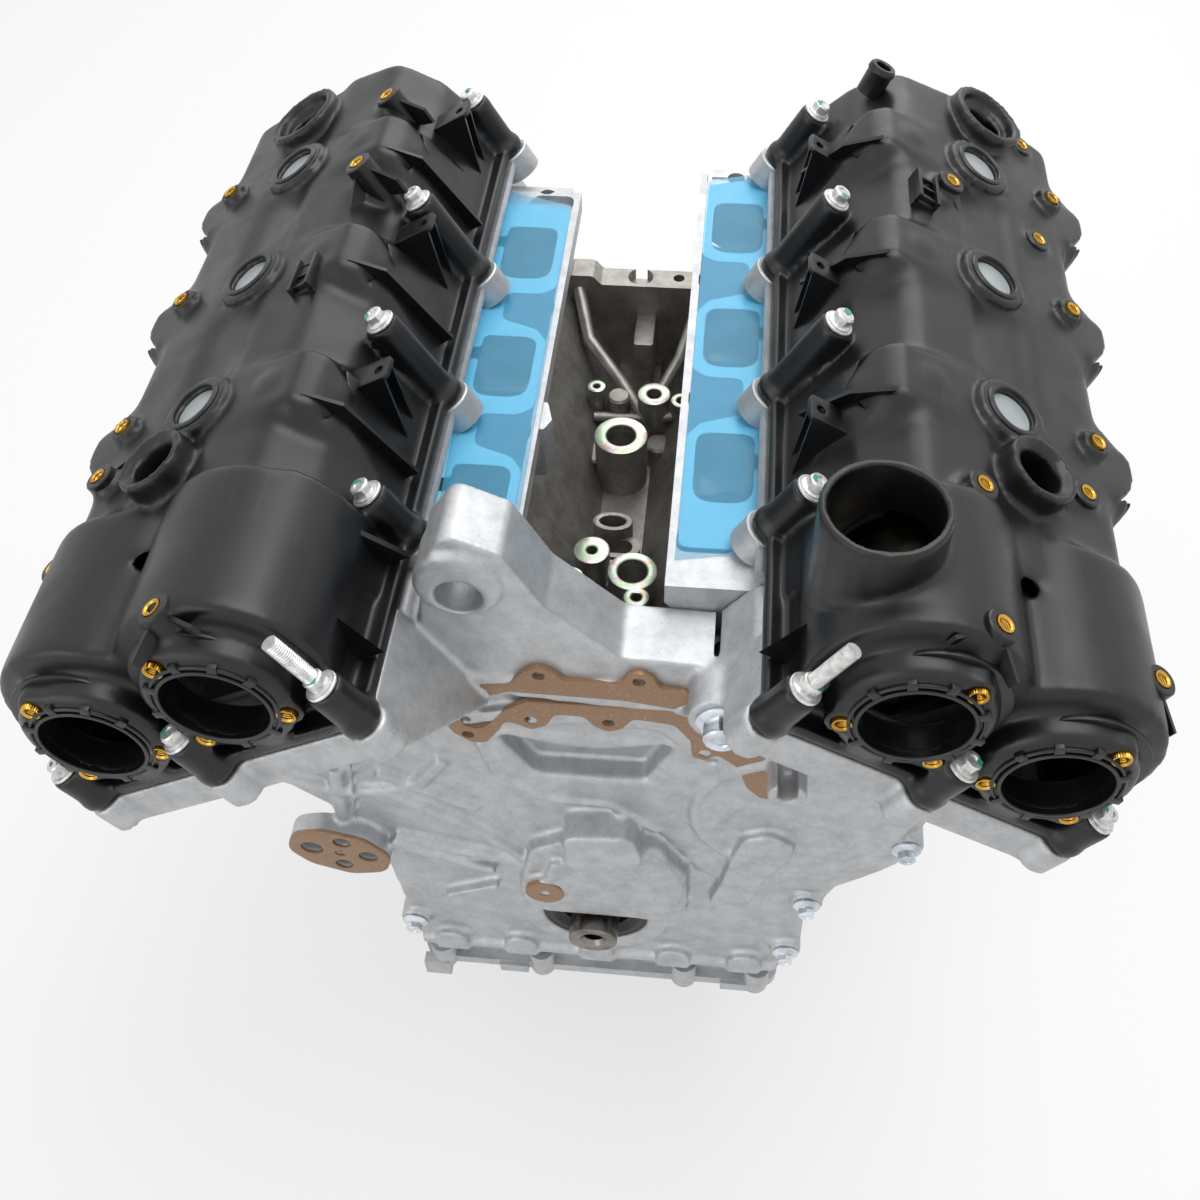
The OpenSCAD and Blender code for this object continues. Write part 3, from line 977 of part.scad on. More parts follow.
module cam_cover(side) {
    yf = cover_front(side);
    y0 = y_first(side);
    color(plastic) bank(side) difference() {
        union() {
            difference() {
                cover_solid(side);
                cover_skin(side, cover_wall);
            }
            cover_outline(side);
            for (p = [[stud_at(side), stud_u], [mid_at(side), mid_bolt[1]], [out_at(side), out_bolt[1]]])
                cover_boss(p[0][0], p[0][1], rail_u, p[1], boss_r);
            for (i = [0:2]) cover_boss(1, y_cyl(side, i), rail_u + 4, well_u, 17.3);
        }
        for (ex = [false, true]) translate([cam_v(ex), 0, cam_u]) {
            along_y(yf - 1, yf + 30, phaser_bore_d / 2);
            for (a = lip_bolt_angles) rotate([0, a, 0]) translate([0, 0, lip_bolt_r])
                along_y(yf, yf + insert_l + 1.4, insert_d / 2);
        }
        for (b = inner_bolts(side)) cover_boss(bolt_v, y0 + b[0], rail_u - 1, b[1] + 1, bolt_r + 0.2);
        for (b = outer_bolts) cover_boss(outer_bolt_v, y0 + b[0], rail_u - 1, b[1] + 1, bolt_r + 0.2);
        for (p = [[stud_at(side), stud_u], [mid_at(side), mid_bolt[1]], [out_at(side), out_bolt[1]]])
            cover_boss(p[0][0], p[0][1], rail_u - 1, p[1] + 1, bolt_r + 0.2);
        for (i = [0:2]) {
            cover_boss(1, y_cyl(side, i), rail_u, well_u - 18, tube_out_r + 0.15);
            cover_boss(1, y_cyl(side, i), rail_u, well_u + 1, well_d / 2);
            cover_boss(edge_insert_v, y_cyl(side, i) + edge_insert_y, edge_insert_u - insert_l - 0.4, edge_insert_u + 1, insert_d / 2);
        }
        for (p = extra_inserts(side)) cover_boss(p[0], y0 + p[1], p[2] - insert_l - 0.4, p[2] + 1, insert_d / 2);
        cover_boss(front_collar[0], y0 + front_collar[1], 380, 420, collar_bore_r);
        cover_boss(front_collar[0], y0 + front_collar[1], 413, 420, collar_bore_r + 4);
        cover_boss(rear_collar[0], y0 + rear_collar[1], 405, 420, rear_collar_r - 6);
        cover_boss(rear_collar[0], y0 + rear_collar[1], 380, 420, collar_bore_r);
        if (side > 0) rotate([0, -half_bank, 0]) translate([filler_x, filler_y, 345]) {
            cylinder(h = 100, r = filler_d / 2 - filler_wall - 1, $fn = 64);
            translate([0, 0, filler_z - filler_seat_l - 345]) cylinder(h = 60, r = filler_d / 2 - filler_wall, $fn = 64);
        }
    }
}
module cam_cover_gaskets() color([0.2, 0.1, 0.08]) for (side = [-1, 1]) bank(side)
    translate([0, 0, rail_u - 1]) linear_extrude(1) difference() {
        polygon([
            [8.4 - rail_in, y_front + 1], [rail_out - 8.4, y_front + 1],
            [rail_out - 8.4, head_rear(side) - 2.8], [8.4 - rail_in, head_rear(side) - 2.8]]);
        polygon([
            [10.6 - rail_in, y_front], [rail_out - 10.6, y_front],
            [rail_out - 10.6, head_rear(side) - 5], [10.6 - rail_in, head_rear(side) - 5]]);
    }
module cover_bolt(v, y, u, low = 20) {
    translate([v, y, rail_u - low]) cylinder(h = u - rail_u + low, r = 3.1, $fn = 24);
    translate([v, y, u]) cylinder(h = 1.8, r = 7.6, $fn = 32);
    translate([v, y, u + 1.8]) cylinder(h = 2, r = 5.6, $fn = 32);
    translate([v, y, u + 3.8]) cylinder(h = 6, r = 4.7, $fn = 6);
}
module cam_cover_bolts() color([0.8, 0.81, 0.8]) for (side = [-1, 1]) bank(side) {
    for (b = inner_bolts(side)) cover_bolt(bolt_v, y_first(side) + b[0], b[1], 10);
    for (b = outer_bolts) cover_bolt(outer_bolt_v, y_first(side) + b[0], b[1]);
    cover_bolt(mid_at(side)[0], mid_at(side)[1], mid_bolt[1], 0);
    cover_bolt(out_at(side)[0], out_at(side)[1], out_bolt[1], 0);
    cover_bolt(stud_at(side)[0], stud_at(side)[1], stud_u, 0);
    translate([stud_at(side)[0], stud_at(side)[1], stud_u + 9]) cylinder(h = 22, r = 3, $fn = 24);
}
module insert(h) {
    difference() {
        cylinder(h = h, r = insert_d / 2 - 0.02, $fn = 32);
        translate([0, 0, -1]) cylinder(h = h + 2, r = 2.9, $fn = 24);
    }
}
module brass_inserts() color([0.85, 0.66, 0.2]) for (side = [-1, 1]) bank(side) {
    for (ex = [false, true]) translate([cam_v(ex), cover_front(side) + 1, cam_u])
        for (a = lip_bolt_angles) rotate([0, a, 0]) translate([0, 0, lip_bolt_r]) rotate([-90, 0, 0]) insert(insert_l);
    for (i = [0:2]) translate([edge_insert_v, y_cyl(side, i) + edge_insert_y, edge_insert_u - insert_l - 0.3]) insert(insert_l);
    for (p = extra_inserts(side)) translate([p[0], y_first(side) + p[1], p[2] - insert_l - 0.3]) insert(insert_l);
}
module plug_well_caps() color([0.75, 0.78, 0.78]) for (side = [-1, 1]) bank(side) for (i = [0:2])
    translate([1, y_cyl(side, i), well_u - 5]) cylinder(h = 2, r = well_d / 2 - 0.05, $fn = 40);
module spark_plug_tubes() color(steel) for (side = [-1, 1]) bank(side) for (i = [0:2])
    translate([1, y_cyl(side, i), rail_floor - 6]) difference() {
        cylinder(h = well_u - 18 - rail_floor + 6, r = tube_out_r, $fn = 40);
        translate([0, 0, -1]) cylinder(h = 200, r = tube_out_r - 2.5, $fn = 40);
    }
film_t = 0.6;
function film_front(side) = side < 0 ? 48 : 62;
function film_rear(side) = side < 0 ? 58 : 56;
function film_slant(side) = side < 0 ? 16 : 7;
module intake_film(side) color([0.25, 0.65, 0.85, 0.6]) scale_x(side)
    translate([intake_x, 0, intake_z + 0.02]) linear_extrude(film_t) polygon([
        [-intake_w / 2, y_first(side) - film_front(side)], [intake_w / 2 - 0.4, y_first(side) - film_front(side)],
        [intake_w / 2 - 0.4, y_last(side) + film_rear(side)], [-intake_w / 2, y_last(side) + film_rear(side) - film_slant(side)]]);

// Sump
module oil_pan_upper() color(alloy) {
    outer = [[-pan_half, pan_front], [pan_half, pan_front], [pan_half, y_rear], [-pan_half, y_rear]];
    difference() {
        union() {
            translate([0, 0, -sump_top]) linear_extrude(pan_upper_h - 0.01) polygon(rounded(inset(outer, 6), 14));
            translate([0, 0, -sump_top]) linear_extrude(9) polygon(rounded(outer, 12));
            for (x = [-110, -40, 60, 110]) translate([x, pan_front + 4, -sump_top]) cylinder(h = pan_upper_h - 4, r = 9);
            block_of([-124, pan_front - 6, -sump_top - 10], [-106, pan_front + 2, -sump_top + 8]);
            block_of([-70, pan_front - 3, -sump_top - 2], [-50, pan_front + 2, -sump_top + 8]);
            block_of([86, pan_front - 3, -sump_top - 2], [108, pan_front + 2, -sump_top + 8]);
        }
        translate([0, 0, -sump_top + 6]) linear_extrude(pan_upper_h) polygon(rounded(inset(outer, 20), 10));
        translate([0, 0, -sump_top - 1]) linear_extrude(20)
            polygon(rounded([[-84, -306], [84, -306], [84, -50], [-84, -50]], 12));
        translate([0, -120, -sump_top - 1]) cylinder(h = 30, r = 10);
    }
}
module oil_pan_lower() color([0.3, 0.3, 0.32]) {
    side_view = [[-320, -sump_top], [-306, -sump_top - 30], [-240, -pan_bottom], [-62, -pan_bottom], [-38, -sump_top]];
    difference() {
        union() {
            plate_x(-92, 92) polygon(rounded(side_view, [0, 20, 14, 14, 0]));
            translate([0, 0, -sump_top - 4]) linear_extrude(4)
                polygon(rounded([[-104, -332], [104, -332], [104, -26], [-104, -26]], 14));
        }
        plate_x(-89, 89) polygon(rounded([[-318, -sump_top + 1], [-303, -sump_top - 29], [-238, -pan_bottom + 3], [-65, -pan_bottom + 3], [-41, -sump_top + 1]], [0, 18, 12, 12, 0]));
        translate([60, -70, -150]) along_y(0, 60, 7);
    }
}
module pan_bolts() color([0.72, 0.74, 0.78]) {
    for (x = [-98, 98]) for (y = [-300, -210, -120, -60])
        translate([x, y, -sump_top - 4]) mirror([0, 0, 1]) {
            cylinder(h = 2, r = 5.6, $fn = 24);
            translate([0, 0, 2]) cylinder(h = 4.5, r = 4.7, $fn = 6);
        }
}
module drain_plug() color(steel) translate([60, -70, -150]) {
    along_y(12, 30, 6.8);
    along_y(30, 33, 12);
    translate([0, 33, 0]) rotate([-90, 0, 0]) cylinder(h = 8, r = 9, $fn = 6);
}

cylinder_block();
main_bearing_caps();
main_bearing_shells();
main_cap_bolts();
crankshaft();
crank_sprocket();
front_crank_seal();
rear_seal_housing();
piston(1);  // piston_1
piston(2);  // piston_2
piston(3);  // piston_3
piston(4);  // piston_4
piston(5);  // piston_5
piston(6);  // piston_6
connecting_rod(1);  // connecting_rod_1
connecting_rod(2);  // connecting_rod_2
connecting_rod(3);  // connecting_rod_3
connecting_rod(4);  // connecting_rod_4
connecting_rod(5);  // connecting_rod_5
connecting_rod(6);  // connecting_rod_6
cylinder_head(-1);  // cylinder_head_left
cylinder_head(1);  // cylinder_head_right
head_gaskets();
head_bolts();
cam_bearing_caps();
camshaft(-1, false);  // camshaft_left_intake
camshaft(-1, true);  // camshaft_left_exhaust
camshaft(1, false);  // camshaft_right_intake
camshaft(1, true);  // camshaft_right_exhaust
phaser(-1, false);  // phaser_left_intake
phaser(-1, true);  // phaser_left_exhaust
phaser(1, false);  // phaser_right_intake
phaser(1, true);  // phaser_right_exhaust
intake_valves();
exhaust_valves();
valve_springs();
roller_fingers();
lash_adjusters();
spark_plug_tubes();
timing_idler();
primary_chain();
left_cam_chain();
right_cam_chain();
chain_guides();
oil_pump();
oil_pickup();
front_cover();
front_cover_bolts();
cam_cover(-1);  // cam_cover_left
cam_cover(1);  // cam_cover_right
cam_cover_gaskets();
cam_cover_bolts();
brass_inserts();
plug_well_caps();
intake_film(-1);  // intake_port_film_left
intake_film(1);  // intake_port_film_right
oil_pan_upper();
oil_pan_lower();
pan_bolts();
drain_plug();
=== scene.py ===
"""Look of a sixty-degree V6 long block with moulded cam covers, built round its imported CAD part.

Lengths are millimetres in the values and metres in Blender. The row frame has +Z up, the
front of the engine towards -Y and the crank axis along Y. Each bank has its own axes:
across (outward), along (to the rear) and up (along the cylinders).
"""

import json
import logging
import math
import random
from collections.abc import Sequence
from dataclasses import dataclass
from enum import Enum

import bmesh
import bpy
import numpy as np
from mathutils import Matrix, Vector


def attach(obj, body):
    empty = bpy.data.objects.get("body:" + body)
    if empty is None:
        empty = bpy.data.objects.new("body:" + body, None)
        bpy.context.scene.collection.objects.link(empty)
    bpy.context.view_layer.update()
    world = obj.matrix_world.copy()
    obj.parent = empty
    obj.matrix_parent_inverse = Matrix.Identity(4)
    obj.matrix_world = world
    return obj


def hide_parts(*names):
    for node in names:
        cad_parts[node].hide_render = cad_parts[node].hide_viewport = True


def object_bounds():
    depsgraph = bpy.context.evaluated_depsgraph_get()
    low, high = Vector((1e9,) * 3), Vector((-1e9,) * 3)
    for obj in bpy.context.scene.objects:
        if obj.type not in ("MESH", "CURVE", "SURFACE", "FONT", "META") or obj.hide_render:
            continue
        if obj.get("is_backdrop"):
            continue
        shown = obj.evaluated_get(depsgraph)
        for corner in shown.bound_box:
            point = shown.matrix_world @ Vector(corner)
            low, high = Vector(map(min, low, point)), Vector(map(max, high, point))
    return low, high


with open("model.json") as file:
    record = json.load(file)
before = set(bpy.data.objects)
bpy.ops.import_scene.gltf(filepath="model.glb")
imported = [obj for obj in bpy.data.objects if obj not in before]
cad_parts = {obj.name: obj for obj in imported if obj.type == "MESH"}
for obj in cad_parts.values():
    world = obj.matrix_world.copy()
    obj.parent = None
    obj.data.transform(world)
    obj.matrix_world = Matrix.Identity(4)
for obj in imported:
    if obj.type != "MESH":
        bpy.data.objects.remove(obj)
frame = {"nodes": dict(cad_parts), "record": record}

log = logging.getLogger("long_block")
MM = 0.001
HALF_VEE = math.radians(30)
FACE_Y = -402.0
ROOT_BODY = "engine"
BORE_PITCH = 106.0
CAM_ACROSS = (-33.0, 46.8)
CAM_UP = 362.8
Point = tuple[float, float]
Place = tuple[float, float, float]
Outline = tuple[Point, ...]
Socket = tuple[bpy.types.Node, str]


# ---------------------------------------------------------------- colour and nodes


def linear(code: str) -> tuple[float, float, float, float]:
    """Turns a colour as seen on a screen into the shader's linear one.

    Args:
        code: sRGB colour as "#rrggbb".

    Returns:
        Linear red, green, blue and an alpha of one.
    """
    parts = [int(code[i : i + 2], 16) / 255 for i in (1, 3, 5)]
    low = [c / 12.92 if c <= 0.04045 else ((c + 0.055) / 1.055) ** 2.4 for c in parts]
    return (*low, 1.0)


def per_mm(size: float) -> float:
    """Texture scale at which one feature is size millimetres wide."""
    return 1 / (size * MM)


def add_node(
    tree: bpy.types.NodeTree,
    kind: str,
    settings: dict | None = None,
    inputs: dict | None = None,
) -> bpy.types.Node:
    """Adds one node with its settings, values and links.

    Args:
        tree: The material's or world's node tree.
        kind: Blender's name of the node type.
        settings: Attributes by name; "stops" is a colour ramp's list of (position, colour).
        inputs: By socket name or index, a value, or (node, output) to link from.

    Returns:
        The new node.
    """
    node = tree.nodes.new(kind)
    for name, value in (settings or {}).items():
        if name != "stops":
            setattr(node, name, value)
            continue
        ramp = node.color_ramp.elements
        while len(ramp) < len(value):
            ramp.new(0.5)
        for stop, (position, colour) in zip(ramp, value):
            stop.position = position
            stop.color = colour
    for key, value in (inputs or {}).items():
        if isinstance(value, tuple) and isinstance(value[0], bpy.types.Node):
            tree.links.new(value[0].outputs[value[1]], node.inputs[key])
        else:
            node.inputs[key].default_value = value
    return node


def bare_tree(owner: bpy.types.Material | bpy.types.World) -> bpy.types.NodeTree:
    """The emptied node tree of a material or world."""
    owner.use_nodes = True
    owner.node_tree.nodes.clear()
    return owner.node_tree


def meshed(name: str, shape: bmesh.types.BMesh) -> bpy.types.Mesh:
    """The mesh of a shape under construction, which ends there."""
    data = bpy.data.meshes.new(name)
    shape.to_mesh(data)
    shape.free()
    return data


def linked(name: str, data: bpy.types.ID) -> bpy.types.Object:
    """A new object in the scene that shows the data."""
    made = bpy.data.objects.new(name, data)
    bpy.context.scene.collection.objects.link(made)
    return made


# ---------------------------------------------------------------- finishes


@dataclass
class Skin:
    """The nodes of one material, laid over the row frame."""

    tree: bpy.types.NodeTree
    place: Socket

    def noise(self, size: float, detail: float, place: Socket | None = None, **more: float) -> Socket:
        """Noise with features of that size in millimetres."""
        inputs = {"Vector": place or self.place, "Scale": per_mm(size), "Detail": detail, **more}
        return add_node(self.tree, "ShaderNodeTexNoise", inputs=inputs), "Fac"

    def moved(self, **more: Place) -> Socket:
        """The place, turned or stretched."""
        return add_node(self.tree, "ShaderNodeMapping", inputs={"Vector": self.place, **more}), "Vector"

    def ranged(self, value: Socket, low: float, high: float, start: float = 0.0, end: float = 1.0) -> Socket:
        """Maps start to end of a value onto low to high."""
        inputs = {"Value": value, "From Min": start, "From Max": end, "To Min": low, "To Max": high}
        return add_node(self.tree, "ShaderNodeMapRange", inputs=inputs), "Result"

    def toned(self, value: Socket, *stops: tuple[float, str]) -> Socket:
        """Colours a value by (position, "#rrggbb") stops."""
        settings = {"stops": [(position, linear(code)) for position, code in stops]}
        return add_node(self.tree, "ShaderNodeValToRGB", settings, {"Fac": value}), "Color"

    def mixed(self, value: Socket, first: str, second: str) -> Socket:
        """Mixes two colours by a value."""
        inputs = {"Factor": value, "A": linear(first), "B": linear(second)}
        return add_node(self.tree, "ShaderNodeMix", {"data_type": "RGBA"}, inputs), "Result"

    def reckoned(self, operation: str, *values: Socket | float) -> Socket:
        """One operation on two or three values."""
        inputs = dict(enumerate(values))
        return add_node(self.tree, "ShaderNodeMath", {"operation": operation}, inputs), "Value"

    def bumped(self, height: Socket, strength: float, depth: float = 0.1) -> Socket:
        """Relief of that depth in millimetres."""
        inputs = {"Height": height, "Strength": strength, "Distance": depth * MM}
        return add_node(self.tree, "ShaderNodeBump", inputs=inputs), "Normal"

    def shader(self, colour: tuple, rough: Socket | float, relief: Socket, **more: object) -> bpy.types.Node:
        """The surface that the finish ends in."""
        inputs = {"Base Color": colour, "Roughness": rough, "Normal": relief, **more}
        return add_node(self.tree, "ShaderNodeBsdfPrincipled", inputs=inputs)


@dataclass(frozen=True)
class Finish:
    """A named surface of one real material; material() gives its Blender material."""

    name: str

    def material(self) -> bpy.types.Material:
        """The finish's material, made the first time it is asked for."""
        found = bpy.data.materials.get(self.name)
        if found:
            return found
        made = bpy.data.materials.new(self.name)
        tree = bare_tree(made)
        place = add_node(tree, "ShaderNodeTexCoord")
        shader = self.surface(Skin(tree, (place, "Object")))
        add_node(tree, "ShaderNodeOutputMaterial", inputs={"Surface": (shader, 0)})
        return made

    def surface(self, skin: Skin) -> bpy.types.Node:
        """Adds the finish's nodes.

        Args:
            skin: The material's nodes so far.

        Returns:
            The shader node.
        """
        raise NotImplementedError


@dataclass(frozen=True)
class CastAluminium(Finish):
    """Sand-cast aluminium: pale, matt and grainy, with faint clouding and small pores."""

    light: str = "#c9cbcd"
    dark: str = "#b3b5b7"
    grain: float = 0.9
    swell: float = 9.0
    pore: float = 3.4
    cloud: float = 14.0
    rough: float = 0.5
    bump: float = 0.4

    def surface(self, skin: Skin) -> bpy.types.Node:
        """Clouds the skin over centimetres and grains it by the sand's size."""
        sand = skin.noise(self.grain, 3.0, Roughness=0.65)
        pores = add_node(
            skin.tree, "ShaderNodeTexVoronoi", inputs={"Vector": skin.place, "Scale": per_mm(self.pore)}
        )
        pits = skin.ranged((pores, "Distance"), 0.0, 1.0, 0.05, 0.16)
        tone = skin.toned(skin.noise(self.cloud, 6.0, Roughness=0.72), (0.34, self.dark), (0.6, self.light))
        darken = {"data_type": "RGBA", "blend_type": "MULTIPLY"}
        tint = add_node(skin.tree, "ShaderNodeMix", darken, {"Factor": 0.35, "A": tone, "B": pits})
        relief = skin.reckoned("MULTIPLY_ADD", skin.noise(self.swell, 2.0), 2.5, sand)
        rough = skin.ranged(sand, self.rough - 0.07, self.rough + 0.1)
        return skin.shader((tint, "Result"), rough, skin.bumped(relief, self.bump, 0.25), Metallic=0.72)


@dataclass(frozen=True)
class MachinedMetal(Finish):
    """Turned, milled or ground metal: fine parallel lay, brighter and smoother than a casting."""

    light: str = "#cfd0d1"
    dark: str = "#a9aaac"
    lay: float = 0.5
    stain: float = 14.0
    rough: float = 0.28
    bump: float = 0.12

    def surface(self, skin: Skin) -> bpy.types.Node:
        """Stretches noise along the engine so that it reads as the cutter's lay."""
        lay = skin.noise(self.lay, 3.0, skin.moved(Scale=(1.0, 0.12, 1.0)))
        oil = skin.noise(self.stain, 4.0)
        tone = skin.toned(oil, (0.32, self.dark), (0.6, self.light))
        rough = skin.ranged(oil, self.rough - 0.08, self.rough + 0.14)
        return skin.shader(tone, rough, skin.bumped(lay, self.bump), Metallic=1.0)


@dataclass(frozen=True)
class MouldedNylon(Finish):
    """Glass-filled black nylon from a spark-eroded mould: satin skin, flow marks, scuffed high spots."""

    colour: str = "#101113"
    scuff: str = "#2b2d30"
    rough: float = 0.36
    grain: float = 0.7
    flow: float = 38.0
    scratch: float = 2.2
    bump: float = 0.22

    def surface(self, skin: Skin) -> bpy.types.Node:
        """Gives the fine eroded grain, and smears of gloss where the melt flowed."""
        drawn = skin.moved(Rotation=(0.3, 0.5, 0.9), Scale=(1.0, 0.05, 1.0))
        scuffs = skin.ranged(skin.noise(self.scratch, 1.0, drawn), 0.0, 0.5, 0.66, 0.78)
        tone = skin.mixed(scuffs, self.colour, self.scuff)
        gloss = skin.noise(self.flow, 4.0, Distortion=0.7)
        rough = skin.ranged(gloss, self.rough - 0.07, self.rough + 0.1, 0.3, 0.7)
        relief = skin.bumped(skin.noise(self.grain, 2.0), self.bump, 0.12)
        return skin.shader(tone, rough, relief, IOR=1.5)


@dataclass(frozen=True)
class ZincPlate(Finish):
    """Zinc on steel, dulled by its passivation: chalky bluish white with cloudy dull patches."""

    light: str = "#ecece9"
    dark: str = "#c3c6c6"
    cloud: float = 3.5
    rough: float = 0.3

    def surface(self, skin: Skin) -> bpy.types.Node:
        """Clouds the plate over a few millimetres and roughens it where it is dull."""
        clouds = skin.noise(self.cloud, 4.0, Distortion=0.5)
        tone = skin.toned(clouds, (0.3, self.dark), (0.58, self.light))
        rough = skin.ranged(clouds, self.rough + 0.15, self.rough - 0.08)
        return skin.shader(tone, rough, skin.bumped(clouds, 0.15), Metallic=0.55)


@dataclass(frozen=True)
class SealingBead(Finish):
    """Tan sealing bead cured on a milled aluminium face: warm, satin, worn through in specks."""

    coat: str = "#a98668"
    worn: str = "#c6b8a8"
    speck: float = 2.2

    def surface(self, skin: Skin) -> bpy.types.Node:
        """Mixes the tan coat with specks of the milled face."""
        specks = skin.noise(self.speck, 5.0, Roughness=0.7)
        tone = skin.mixed(skin.ranged(specks, 0.0, 1.0, 0.56, 0.74), self.coat, self.worn)
        rough = skin.ranged(specks, 0.34, 0.55)
        return skin.shader(tone, rough, skin.bumped(specks, 0.2), Metallic=0.25)


@dataclass(frozen=True)
class ChromateRing(Finish):
    """Milled boss face with its thin oxide: pale green, pink and gold bands on bright metal."""

    bands: tuple[tuple[float, str], ...] = (
        (0.3, "#d9dccb"), (0.42, "#b9d8b2"), (0.5, "#cfe4cf"), (0.57, "#dcb9c9"), (0.65, "#c9c48a"),
    )
    spread: float = 11.0

    def surface(self, skin: Skin) -> bpy.types.Node:
        """Runs noise through the colours of a thin film."""
        film = skin.noise(self.spread, 3.0, Distortion=1.2)
        return skin.shader(skin.toned(film, *self.bands), 0.3, skin.bumped(film, 0.1), Metallic=0.85)


@dataclass(frozen=True)
class PortFilm(Finish):
    """Sky-blue polyethylene film stuck over the ports: milky, so metal shows pale and ports dark."""

    colour: str = "#5fc2ee"
    cover: float = 0.45
    crease: float = 30.0

    def surface(self, skin: Skin) -> bpy.types.Node:
        """Lets half of what is behind it through, once per sheet, with creases in its gloss."""
        slack = skin.noise(self.crease, 3.0, Distortion=0.8)
        side = add_node(skin.tree, "ShaderNodeNewGeometry")
        outer = skin.reckoned("SUBTRACT", 1.0, (side, "Backfacing"))
        haze = skin.ranged(slack, self.cover - 0.06, self.cover + 0.06)
        milk = skin.reckoned("MULTIPLY", haze, outer)
        return skin.shader(linear(self.colour), 0.3, skin.bumped(slack, 0.25, 1.2), IOR=1.5, Alpha=milk)


@dataclass(frozen=True)
class PlainSkin(Finish):
    """Rubber, paint or plain plastic: one colour, clouded a little, with a fine skin."""

    colour: str = "#101011"
    cloud: str = "#1c1c1e"
    rough: float = 0.5
    grain: float = 0.6
    spread: float = 12.0
    bump: float = 0.2
    metallic: float = 0.0

    def surface(self, skin: Skin) -> bpy.types.Node:
        """Clouds the colour over a centimetre and grains the skin."""
        cloud = skin.noise(self.spread, 4.0)
        tone = skin.mixed(cloud, self.colour, self.cloud)
        rough = skin.ranged(cloud, self.rough - 0.08, self.rough + 0.08)
        relief = skin.bumped(skin.noise(self.grain, 2.0), self.bump)
        return skin.shader(tone, rough, relief, Metallic=self.metallic)


CAST = CastAluminium("sand_cast_aluminium")
CAST_DULL = CastAluminium("dull_cast_aluminium", light="#a8a5a0", dark="#8a8680", rough=0.42, bump=0.5)
MILLED = MachinedMetal("milled_aluminium", light="#dadbdc", dark="#bdbec0", rough=0.32)
NYLON = MouldedNylon("moulded_black_nylon")
ZINC = ZincPlate("zinc_plated_steel")
TAN_FACE = SealingBead("tan_sealing_face")
CHROMATE = ChromateRing("milled_boss_oxide")
FILM = PortFilm("sky_blue_port_film")
FILMED_LAND = PlainSkin("joint_face_through_film", colour="#9debff", cloud="#90e0f6", rough=0.4, bump=0.1)
FILMED_POCKET = PlainSkin("pocket_floor_through_film", colour="#45718f", cloud="#507f9e", rough=0.5, bump=0.1)
# Painted shade: a dark blue for the flat rings round each port, standing in for the shadowed port mouth seen
# through the film.
FILMED_PORT_SHADE = PlainSkin("painted_port_shade_through_film", colour="#1d2733", cloud="#222d3a", rough=0.6, bump=0.1)
BRIGHT_ZINC = MachinedMetal("bright_zinc_steel", light="#dfe4ea", dark="#aab2ba", lay=0.9, rough=0.24)
BRASS = MachinedMetal("turned_brass", light="#d9ac4c", dark="#a87a26", lay=0.4, rough=0.27)
MARK = PlainSkin("teal_marking_paint", colour="#2f9c86", cloud="#57b8a4", rough=0.4)
SNOUT = MachinedMetal("ground_forged_steel", light="#8a857f", dark="#57524d", rough=0.26)
SLOT_FINISHES: dict[str, Finish] = {
    "cast_alloy": CAST,
    "cast_alloy_dark": CAST_DULL,
    "steel": SNOUT,
    "bearing": MachinedMetal("bearing_overlay", light="#b3a58c", dark="#8d8069", rough=0.3),
    "dark_bolt": PlainSkin("black_oxide_steel", colour="#1b1b1d", cloud="#2b2a2a", rough=0.42, metallic=0.8),
    "seal_rubber": PlainSkin("nitrile_rubber", colour="#0c0c0d", cloud="#161617", rough=0.45),
    "gasket": MachinedMetal("layered_gasket_steel", light="#8b8c90", dark="#66676b", rough=0.35),
    "gasket_rubber": PlainSkin("gasket_bead_rubber", colour="#2a1712", cloud="#3a231b", rough=0.55),
    "valve_steel": MachinedMetal("ground_valve_steel", light="#a29d98", dark="#6f6a66", rough=0.25),
    "spring_steel": MachinedMetal(
        "peened_spring_wire", light="#74777c", dark="#4c4e53", lay=0.8, rough=0.38, bump=0.4
    ),
    "chain_steel": MachinedMetal("oiled_chain_plate", light="#86807a", dark="#5a544d", rough=0.3),
    "guide_nylon": PlainSkin("guide_nylon", colour="#2a211b", cloud="#3a2f26", rough=0.45),
    "zinc": ZINC,
    "moulded_cover": NYLON,
    "brass": BRASS,
    "cap_plastic": PlainSkin("pale_well_disc", colour="#9aa3a5", cloud="#b7bfc0", rough=0.3, bump=0.08),
    "film": FILM,
    "sump_paint": PlainSkin("satin_sump_paint", colour="#141517", cloud="#1e1f22", rough=0.4),
    "piston_alloy": MachinedMetal("turned_piston_alloy", light="#b9bbbf", dark="#8f9196", rough=0.3),
    "phaser_steel": MachinedMetal(
        "sintered_phaser_steel", light="#8c8579", dark="#5d564c", lay=0.9, rough=0.36, bump=0.3
    ),
}


# ---------------------------------------------------------------- banks and mesh work


